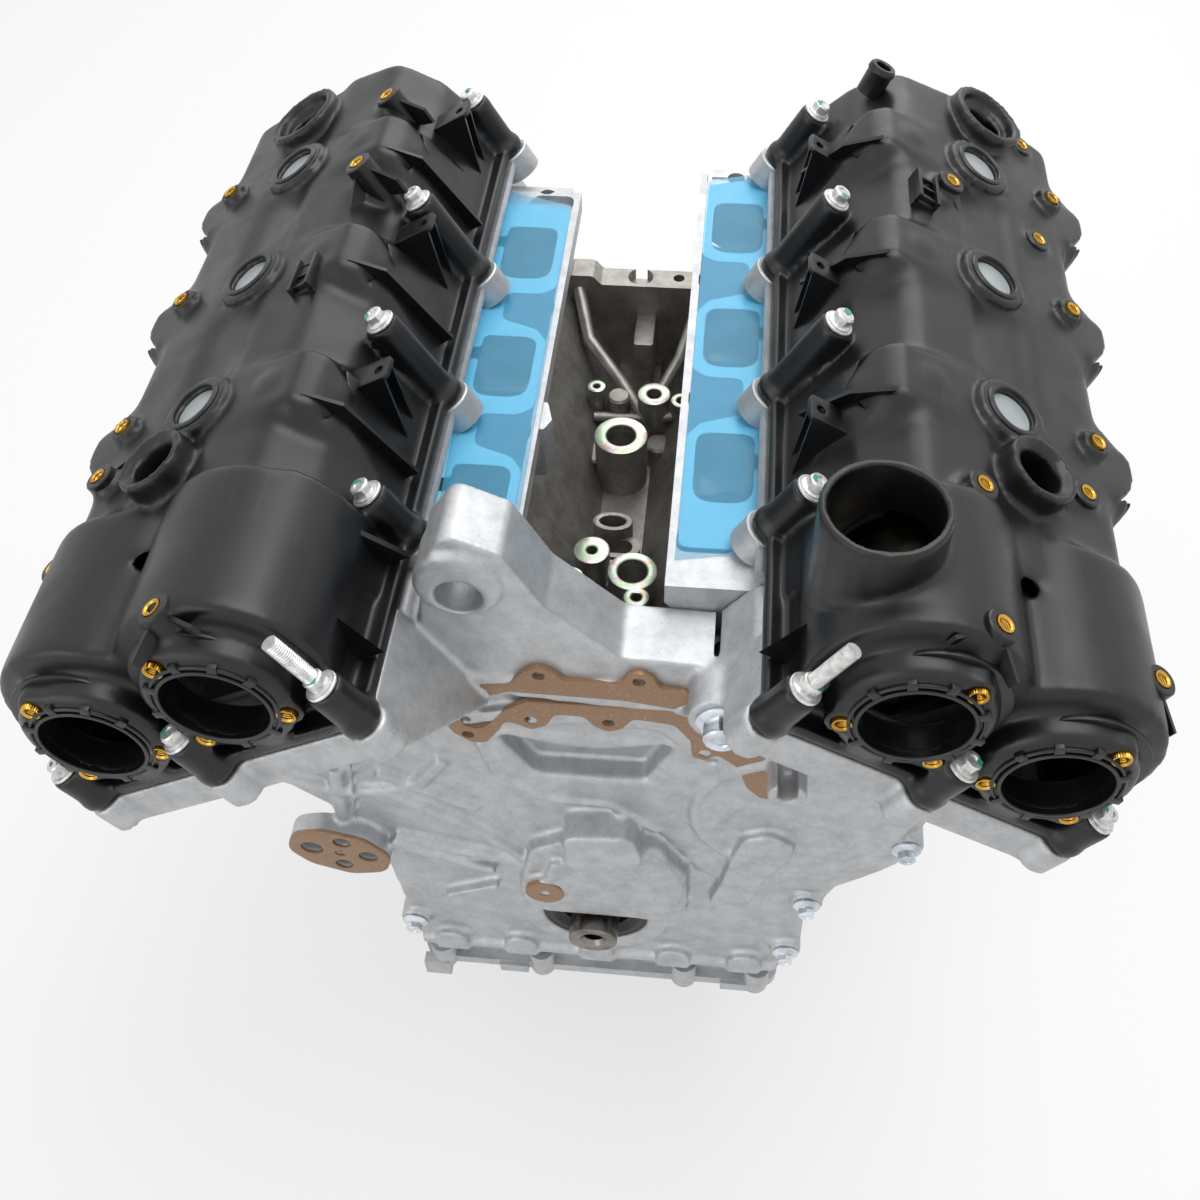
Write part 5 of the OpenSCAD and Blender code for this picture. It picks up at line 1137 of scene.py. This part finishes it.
@dataclass
class FrontCover:
    """The cast timing cover with its milled faces and the tan sealing on them."""

    gasket_outer: Outline = (
        (-62, 206), (-71, 214), (-77, 230), (-77, 246), (-70, 256), (-56, 260), (-37, 263), (-29, 274),
        (-21, 279), (-13, 274), (-9, 268), (20, 268), (23, 276), (29, 280), (36, 275), (40, 267),
        (62, 264), (92, 257), (110, 240), (133, 230), (154, 214), (151, 203), (140, 200), (124, 205),
        (117, 198), (116, 178), (108, 169), (96, 169), (88, 179), (82, 199), (70, 211), (64, 203),
        (57, 208), (56, 222), (47, 236), (26, 239), (20, 229), (13, 225), (6, 229), (0, 238), (-15, 238),
        (-20, 227), (-28, 222), (-36, 227), (-42, 228), (-49, 214), (-54, 206),
    )
    gasket_channel: Outline = (
        (-66, 232), (-52, 249), (-38, 256), (21, 255), (85, 244), (92, 236), (90, 226), (80, 222),
        (70, 226), (58, 241), (48, 248), (-29, 248), (-42, 238), (-50, 225), (-56, 219), (-65, 221),
    )
    gasket_holes: Outline = (
        (-66, 251), (-21.5, 271.5), (29, 272), (-63, 213), (-28, 231), (13, 233.5), (64, 211), (140, 209)
    )
    pad_outer: Outline = (
        (-186, 86), (-174, 70), (-150, 60), (-126, 66), (-122, 86), (-136, 104), (-160, 112), (-180, 106)
    )
    pad_holes: tuple[Place, ...] = (
        (-170, 90, 7), (-150, 99, 5.5), (-136, 84, 6), (-153, 72, 5.5), (-153, 86, 3.4)
    )

    spot: Outline = ((3.4, -3), (12, -3), (12, 0.1), (11.7, 0.35), (3.7, 0.35), (3.4, 0.1))
    large_seats: Outline = ((-84, 272), (71, 270))
    large_bolt: Place = (9.5, 13.0, 8.5)
    small_seats: Outline = ((-122, -20), (-196, 172), (126, -22), (182, 128), (202, 172), (133, 48))
    small_bolt: Place = (5.4, 8.4, 5.0)

    def build(self) -> None:
        """Makes the casting's soft skin and the crisp milled faces on it."""
        FrontCasting("front_cover", "front_cover_casting", CAST, "cast_alloy", voxel=1.7, passes=3).build()
        faces = Workpiece()
        channel = rounded(self.gasket_channel, 5)
        holes = [circle(3.3, 18, x, z) for x, z in self.gasket_holes]
        faces.sawn(
            rounded(self.gasket_outer, 6), -3.0, 0.35, row_facing_front(0, FACE_Y - 3, 0), [channel, *holes],
            0.3
        )
        pad = rounded(self.pad_outer, 15)
        faces.sawn(
            pad, -2.0, 0.35, row_facing_front(0, FACE_Y - 14, 0),
            [circle(r, 22, x, z) for x, z, r in self.pad_holes], 0.3
        )
        faces.turned(self.spot, row_facing_front(-28, FACE_Y - 18, 62), 40)
        faces.done("sealing_faces_tan", TAN_FACE, "cast_alloy")
        self._bolts()

    def _bolts(self) -> None:
        """Turns the flanged bolts: two large ones, and the small ones round the edge."""
        bolts = Workpiece()
        dice = random.Random(11)
        for x, z in self.large_seats:
            flanged_bolt(bolts, row_facing_front(x, FACE_Y - 22, z), *self.large_bolt, dice)
        for x, z in self.small_seats:
            flanged_bolt(bolts, row_facing_front(x, FACE_Y - 5, z), *self.small_bolt, dice)
        bolts.done("front_cover_bolts_detailed", BRIGHT_ZINC, "zinc", stands_for=("front_cover_bolts",))


@dataclass
class FrontCasting(Casting):
    """The timing cover's casting, with the steps and ribs that its flat CAD face leaves out."""

    plate: Outline = (
        (-58, 200), (-51, 174), (-27, 151), (12, 148), (40, 122), (54, 98), (66, 76), (84, 66), (140, 60),
        (176, 98), (181, 150), (160, 186), (118, 196), (60, 200), (52, 214), (-54, 216),
    )
    mouth: Outline = (
        (-33, 172), (35, 173), (49, 206), (46, 216), (10, 206), (-12, 206), (-46, 214), (-50, 206)
    )
    hump: Outline = (
        (-14, 137), (26, 141), (31, 118), (47, 102), (57, 78), (54, 50), (46, 34), (34, 37), (18, 44), (0, 47),
        (-18, 44), (-34, 38), (-44, 36), (-42, 52), (-34, 64), (-15, 92)
    )
    crown: Outline = ((-14, 137), (26, 141), (32, 116), (28, 100), (-12, 98))
    scoop: Outline = (
        (89, 128), (104, 136), (120, 124), (117, 107), (105, 83), (97, 44), (83, 38), (72, 43), (79, 73),
        (84, 107)
    )
    ribs: tuple[tuple[float, tuple[Point, ...]], ...] = (
        (4.2, ((-120, 145), (-77, 115), (-34, 69))),
        (4.6, ((-120, 92), (-81, 81), (-41, 70))),
        (3.4, ((-121, 164), (-65, 132))),
        (4.6, ((-145, 165), (-150, 108))),
        (4.4, ((-200, 172), (-176, 152), (-148, 141), (-120, 145), (-96, 158), (-80, 184))),
        (2.0, ((56, 135), (74, 165))),
        (2.0, ((62, 120), (87, 160))),
        (2.4, ((122, 146), (136, 143), (148, 132), (152, 117), (148, 100), (138, 88), (122, 80), (108, 78))),
        (3.0, ((-58, 205), (-51, 174), (-27, 151), (12, 148), (40, 122))),
    )

    def add_forms(self, extra: Workpiece) -> None:
        """Adds the stepped plate, the pump's hump, the scoop, the rim and the ribs."""
        face = row_facing_front(0, FACE_Y, 0)
        for outline, corner, rise, holes in (
            (self.plate, 12, 2.2, [rounded(self.mouth, 4)]), (self.hump, 12, 15, ()),
            (self.crown, 9, 21, ()), (self.scoop, 10, 9, ()),
        ):
            extra.sawn(rounded(outline, corner), -3, rise, face, holes)
        extra.turned([(57, -2), (57, 5.5), (61, 5.5), (61, -2)], row_facing_front(119, FACE_Y, 149), 80)
        extra.sawn([(-31, 64), (-25, 64), (-17, 96), (-23, 96)], -2, 17, face)
        for radius, line in self.ribs:
            extra.bent([Vector((x, z, 1.5)) for x, z in line], radius, face)


def flanged_bolt(
    bolts: Workpiece, seat: Matrix, hexagon: float, flange: float, height: float, dice: random.Random
) -> None:
    """Makes a hexagon bolt with a domed flange.

    Args:
        bolts: The piece it belongs to.
        seat: Frame of its seat, with local Z out of the head.
        hexagon: Radius of the hexagon's corners.
        flange: Radius of the flange.
        height: Height of the head above the flange.
        dice: Source of the turn that each bolt stopped at.
    """
    bolts.turned([(0, -8), (flange * 0.45, -8), (flange * 0.45, 0), (0, 0)], seat, 20)
    bolts.turned(
        [
            (2, 0), (flange - 0.4, 0), (flange, 0.5), (flange, 1.4), (flange - 0.8, 2.0), (hexagon, 3.4),
            (2, 3.4)
        ],
        seat, 48
    )
    turn = seat @ Matrix.Rotation(dice.uniform(0, math.pi), 4, "Z")
    top = height + 3.2
    bolts.sawn(circle(hexagon, 6), 3.0, top - 0.8, turn, ease=0.2)
    bolts.turned(
        [
            (0, top - 0.82), (hexagon - 0.5, top - 0.82), (hexagon - 1.5, top), (hexagon * 0.5, top),
            (hexagon * 0.42, top - 0.9), (0, top - 0.9)
        ],
        turn, 36
    )


@dataclass(frozen=True)
class IntakeSide:
    """Where one bank's intake face differs: key notch, ends of the pockets, film and ports."""

    notch: Point
    pocket_rear: float
    port_shift: float
    film: Outline


INTAKE_SIDES: dict[Bank, IntakeSide] = {
    Bank.LEFT: IntakeSide((5, 15), 66.0, -6.0, ((92, -38), (43.1, -54.6), (39.9, -358), (82, -364))),
    Bank.RIGHT: IntakeSide((0, 10), 71.0, 1.0, ((44.5, -20.2), (89.5, -7), (89.3, -340), (42.3, -349))),
}


@dataclass
class IntakeFaces:
    """The heads' intake joint faces and the films stuck on them."""

    face_up: float = 301.0
    port_across: float = 64.5
    port_radii: tuple[float, ...] = (12.0, 12.0, 3.0, 3.0, 3.0, 3.0, 13.0, 9.0)
    bore: tuple[float, float, float, float] = (-16.5, -21, 16.5, 21)
    bore_across: float = 63.5
    pocket: Point = (43.2, 87.8)
    floor_layer: Point = (0.02, 0.06)
    # Height of the flat rings of painted port shade.
    port_shade_layer: Point = (0.08, 0.12)
    land_layer: Point = (0.15, 0.35)
    film_layer: Point = (0.45, 0.8)
    land_across: Point = (43.4, 87.5)
    lobe_across: float = -81.5
    lobe_up: float = 318.0
    ring_across: float = 91.5
    ring_gap: float = 30.0
    lobe: Outline = ((0, -16), (12.6, -16), (12.6, -1.0), (11.8, -0.2), (0, -0.2))
    ring: Outline = ((2.2, -3), (3.4, -3), (3.4, 0.2), (3.0, 0.5), (2.2, 0.5))

    def build(self) -> None:
        """Makes both banks' faces, the rail's lobes and the dowel rings."""
        lobes, rings = Workpiece(), Workpiece()
        for bank in Bank:
            centres = [bore + INTAKE_SIDES[bank].port_shift for bore in bank.bores]
            self._faces(bank, centres)
            for along, _ in INNER_BOLTS[bank]:
                lobes.turned(self.lobe, bank.at(self.lobe_across, bank.first_bore + along, self.lobe_up), 40)
            between = [c + BORE_PITCH / 2 for c in centres[:2]]
            for along in between + [centres[0] - self.ring_gap, centres[2] + self.ring_gap]:
                rings.turned(self.ring, row_at(bank.value * self.ring_across, along, self.face_up), 24)
        lobes.done("head_rail_lobes", CAST, "cast_alloy")
        rings.done("intake_dowel_rings", MILLED, "cast_alloy")

    def _faces(self, bank: Bank, centres: list[float]) -> None:
        """Makes one bank's land, pocket floors, flat rings of painted port shade and film, from below to above.
        """
        side, label, shape = bank.value, bank.label, INTAKE_SIDES[bank]
        where = row_at(0, 0, self.face_up)
        front, rear = shape.notch
        port = [(-16, -26), (16, -26), (16, front), (23, front), (23, rear), (16, rear), (16, 26), (-16, 26)]
        ports = [rounded(on_side(side, port, self.port_across, c), self.port_radii, 5) for c in centres]
        bores = [rounded(on_side(side, box(*self.bore), self.bore_across, c), 10, 5) for c in centres]
        ends = [y for _, y in shape.film]
        (inner, outer), low, high = self.pocket, min(ends) + 10, max(ends) - 22
        land, floors, shade, sheet = Workpiece(), Workpiece(), Workpiece(), Workpiece()
        land.sawn(self._land(bank, centres), *self.land_layer, where, ports)
        floors.sawn(on_side(side, box(inner, low, outer, high)), *self.floor_layer, where, bores)
        # Flat dark rings between each port's outline and its bore: painted shade, standing in for the port wall
        # falling away into shadow under the film.
        for outline, bore in zip(ports, bores):
            shade.sawn(outline, *self.port_shade_layer, where, [bore])
        sheet.sawn(on_side(side, shape.film), *self.film_layer, where)
        land.done(f"intake_land_{label}", FILMED_LAND, "cast_alloy")
        floors.done(f"intake_pockets_{label}", FILMED_POCKET, "cast_alloy")
        shade.done(f"intake_port_walls_{label}", FILMED_PORT_SHADE, "cast_alloy")
        sheet.done(f"port_film_{label}", FILM, "film", stands_for=(f"intake_port_film_{label}",))

    def _land(self, bank: Bank, centres: list[float]) -> list[Point]:
        """Outline of the milled face inside the film: round each port, with the pockets cut in."""
        shape = INTAKE_SIDES[bank]
        ends = [y for _, y in shape.film]
        front, rear, back = min(ends) + 9, max(ends) - 18, shape.pocket_rear
        inner, outer = self.land_across
        line = [(outer, front), (inner, front)]
        for c in centres[:2]:
            line += [(inner, c + 23), (50, c + 33), (72, c + 41)]
            line += [(73, c + back), (52, c + back), (inner, c + back + 6)]
        line += [(inner, rear), (outer, rear + (12 if bank is Bank.RIGHT else 4))]
        return rounded(on_side(bank.value, line), 6)


# ---------------------------------------------------------------- valley


@dataclass
class Valley:
    """Milled boss tops in the valley with their oxide colours, and the ribs and pillars round them."""

    top: float = 190.0
    fit_y: float = -310.0
    rim_half: Point = (13, 8)
    rim_inside: Point = (0.66, 0.6)
    bosses: tuple[tuple[float, float, float, float], ...] = (
        (-4, 162, 17.5, 10), (13.5, 45, 15, 9.5), (-18, 13.5, 13.5, 8), (-24, 37, 8.5, 4), (-13, 60, 11, 3.5),
        (15, 204, 11, 5), (34, 199, 7, 3.5), (17.5, 25, 7.5, 3.5), (-25, 209, 6, 2.5),
    )
    ribs: tuple[tuple[float, tuple[Place, ...]], ...] = (
        (4.5, ((-44, -30, 216), (-34, -62, 198), (-10, -88, 184), (9, -112, 172))),
        (4.0, ((40, -36, 210), (30, -70, 192), (9, -112, 172))),
        (3.5, ((-26, -112, 172), (9, -112, 172), (30, -112, 176))),
    )
    pillars: tuple[tuple[float, float, float, float], ...] = (
        (-9.6, -102, 8, 184), (-22, -140, 10, 166), (20, -128, 9, 166), (-2, -246, 11, 166),
    )

    def build(self) -> None:
        """Makes the milled rings as one piece, and the ribs round them."""
        rings = Workpiece()
        for x, y, outer, bore in self.bosses:
            profile = [
                (bore, -6), (outer - 0.3, -6), (outer - 0.3, 0.05), (outer - 0.8, 0.25), (bore + 0.8, 0.25),
                (bore, -0.4)
            ]
            rings.turned(profile, row_at(x, self.fit_y + y, self.top), 44)
        neck = [(11.5, 33), (19, 33), (20, 28), (14.5, 28)]
        rings.sawn(neck, -0.5, 0.15, row_at(0, self.fit_y, self.top))
        rings.done("valley_boss_faces", CHROMATE, "cast_alloy_dark")
        self._castings()

    def _castings(self) -> None:
        """Adds the ribs that meet in the valley, its upright, the oval rim and the rail's bracket."""
        forms = Workpiece()
        for radius, line in self.ribs:
            forms.bent([Vector(p) for p in line], radius, row_at(0, 0, 0))
        forms.sawn(rounded(box(-3, -64, 11, -12), 3), 140, 197, row_at(0, 0, 0), ease=1.5)
        (half_x, half_y), (inside_x, inside_y) = self.rim_half, self.rim_inside
        oval = [(half_x * math.cos(a), half_y * math.sin(a)) for a in np.linspace(0, 2 * math.pi, 33)[:-1]]
        inner = [(inside_x * x, inside_y * y) for x, y in oval]
        forms.sawn(oval, 140, 176, row_at(-3.8, -212, 0), [inner], 1.2)
        for x, y, r, top in self.pillars:
            forms.turned(
                [(0, 130 - top), (r + 2, 130 - top), (r, -1.5), (r - 1.5, 0), (0, 0)], row_at(x, y, top), 28
            )
        forms.done("valley_ribs", CAST_DULL, "cast_alloy_dark")
        bracket = Workpiece()
        bracket.sawn(
            rounded([(-46, -12), (-36, -12), (-32, -4), (-36, 10), (-46, 12)], 2), 262, 299, row_at(0, -246, 0),
            ease=1.2
        )
        bracket.done("rail_bracket", CAST, "cast_alloy")


# ---------------------------------------------------------------- stage


@dataclass
class Studio:
    """Floor, light and the camera at the picture's angle."""

    floor_z: float = -180.0
    floor_gap: float = 0.0005
    floor_half: float = 9.0
    lens: float = 40.085
    sensor: float = 36.0
    glow: float = 0.62
    dome: tuple[float, float, float, float] = (0.28, 0.62, -0.1, 0.9)
    eye: Place = (0.06018, -0.78794, 0.81479)
    ahead: Place = (-0.08, 0.622, -0.779)
    down: Place = (0.063, -0.777, -0.627)
    aim: Place = (0.0, -0.22, 0.15)
    lamps: tuple[tuple[str, Place, float, float], ...] = (
        ("overhead", (0.5, 0.1, 2.1), 1.3, 19.0),
        ("front_fill", (-1.4, -1.8, 1.1), 1.4, 9.0),
        ("back_rim", (0.3, 1.7, 1.5), 1.5, 13.0),
    )

    def build(self) -> None:
        """Sets the stage."""
        self._camera()
        self._floor()
        self._lamps()
        self._world()

    def _camera(self) -> None:
        """Puts the camera where the picture was taken from."""
        data = bpy.data.cameras.new("view")
        data.lens = self.lens
        data.sensor_width = self.sensor
        camera = linked("view", data)
        down, ahead = Vector(self.down), Vector(self.ahead)
        ahead.normalize()
        up = (-down - ahead * (-down).dot(ahead)).normalized()
        right = ahead.cross(up)
        turn = Matrix((right, up, -ahead)).transposed().to_4x4()
        camera.matrix_world = Matrix.Translation(self.eye) @ turn
        bpy.context.scene.camera = camera
        bpy.context.scene.view_settings.view_transform = "Standard"

    def _floor(self) -> None:
        """A wide pale floor that shows white and keeps the shadow."""
        mesh = bmesh.new()
        bmesh.ops.create_grid(mesh, x_segments=24, y_segments=24, size=self.floor_half)
        bmesh.ops.translate(mesh, verts=mesh.verts[:], vec=(0, 0, self.floor_z * MM - self.floor_gap))
        data = meshed("studio_floor", mesh)
        floor = bpy.data.objects.new("studio_floor", data)
        bpy.context.scene.collection.objects.link(floor)
        paper = bpy.data.materials.new("studio_paper")
        tree = bare_tree(paper)
        rays = add_node(tree, "ShaderNodeLightPath")
        matt = add_node(tree, "ShaderNodeBsdfDiffuse", inputs={"Color": linear("#fafafa")})
        seen = seen_directly(tree, rays)
        glow = add_node(
            tree, "ShaderNodeEmission", inputs={"Color": linear("#ffffff"), "Strength": (seen, "Value")}
        )
        dim = add_node(tree, "ShaderNodeMixShader", inputs={"Fac": self.glow, 1: (matt, 0), 2: (glow, 0)})
        add_node(tree, "ShaderNodeOutputMaterial", inputs={"Surface": (dim, 0)})
        data.materials.append(paper)
        floor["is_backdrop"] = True

    def _lamps(self) -> None:
        """Large soft lamps: one overhead, one low in front, one behind for the covers' edges."""
        for name, place, size, power in self.lamps:
            data = bpy.data.lights.new(name, "AREA")
            data.shape = "SQUARE"
            data.size = size
            data.energy = power
            lamp = linked(name, data)
            lamp.location = place
            lamp.rotation_mode = "QUATERNION"
            lamp.rotation_quaternion = (Vector(place) - Vector(self.aim)).to_track_quat("Z", "Y")

    def _world(self) -> None:
        """White where it is seen, and a softer dome for the light."""
        world = bpy.data.worlds.new("studio_dome")
        bpy.context.scene.world = world
        tree = bare_tree(world)
        rays = add_node(tree, "ShaderNodeLightPath")
        place = add_node(tree, "ShaderNodeTexCoord")
        split = add_node(tree, "ShaderNodeSeparateXYZ", inputs={"Vector": (place, "Generated")})
        height = Skin(tree, (place, "Generated")).ranged((split, "Z"), *self.dome)
        dome = add_node(tree, "ShaderNodeBackground", inputs={"Color": linear("#ffffff"), "Strength": height})
        white = add_node(tree, "ShaderNodeBackground", inputs={"Color": linear("#ffffff"), "Strength": 1.0})
        seen = seen_directly(tree, rays)
        pick = add_node(
            tree, "ShaderNodeMixShader", inputs={"Fac": (seen, "Value"), 1: (dome, 0), 2: (white, 0)}
        )
        add_node(tree, "ShaderNodeOutputWorld", inputs={"Surface": (pick, 0)})


def seen_directly(tree: bpy.types.NodeTree, rays: bpy.types.Node) -> bpy.types.Node:
    """One for rays that show the backdrop itself: straight, mirrored or through a clear piece."""
    larger = {"operation": "MAXIMUM"}
    mirrored = add_node(
        tree, "ShaderNodeMath", larger, {0: (rays, "Is Glossy Ray"), 1: (rays, "Is Transmission Ray")}
    )
    return add_node(tree, "ShaderNodeMath", larger, {0: (rays, "Is Camera Ray"), 1: (mirrored, "Value")})


def dress_cad_nodes() -> None:
    """Gives every CAD node the finish of its material slot."""
    slots = {part["node"]: part["material_slot"] for part in frame["record"]["subparts"]}
    for name, node in frame["nodes"].items():
        finish = SLOT_FINISHES[slots[name]]
        node.data.shade_smooth()
        node.data.set_sharp_from_angle(angle=math.radians(30))
        for place in node.material_slots:
            place.material = finish.material()
        if not node.material_slots:
            node.data.materials.append(finish.material())
    log.info("dressed %d CAD nodes", len(frame["nodes"]))


def corners() -> list[list[float]]:
    """The shown object's box as plain lists."""
    return [list(corner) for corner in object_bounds()]


def main() -> None:
    """Builds the whole scene in order."""
    logging.basicConfig(level=logging.INFO, format="%(name)s %(message)s")
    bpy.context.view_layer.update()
    Studio().build()
    dress_cad_nodes()
    CamCover(
        Bank.LEFT,
        tab_places=((-291, 372), (-169, 372), (-51, 370)),
        rack=(-42, -223, 400),
        webs=(
            ((-64, -425, 388), (-80, -431, 352), (-90, -437, 326), (-68, -437, 326)),
            ((-64, -383, 388), (-82, -381, 350), (-91, -379, 326), (-68, -379, 326)),
            *(((-66, y, 398), (-80, y, 382), (-85, y, 328), (-68, y, 328)) for y in (-322, -217, -111.5)),
        ),
        stubs=(((82, -414, 364), (101, -414, 363)),),
    ).build()
    CamCover(
        Bank.RIGHT,
        tab_places=((-300, 368), (-187, 368), (-72, 368)),
        rack=(-40, -124, 402),
        webs=(
            ((-64, -411, 388), (-80, -417, 352), (-90, -423, 326), (-68, -423, 326)),
            *(
                ((-66, y - 2, 402), (-79, y + 6, 382), (-84, y + 20, 346), (-68, y + 20, 346))
                for y in (-300, -193.7, -87.4)
            ),
        ),
        stubs=(((-62, -16, 386), (-64, -14, 404)),),
    ).build()
    CoverBolts().build()
    BrassInserts().build()
    FrontCover().build()
    IntakeFaces().build()
    Valley().build()


if __name__ == "__main__":
    main()
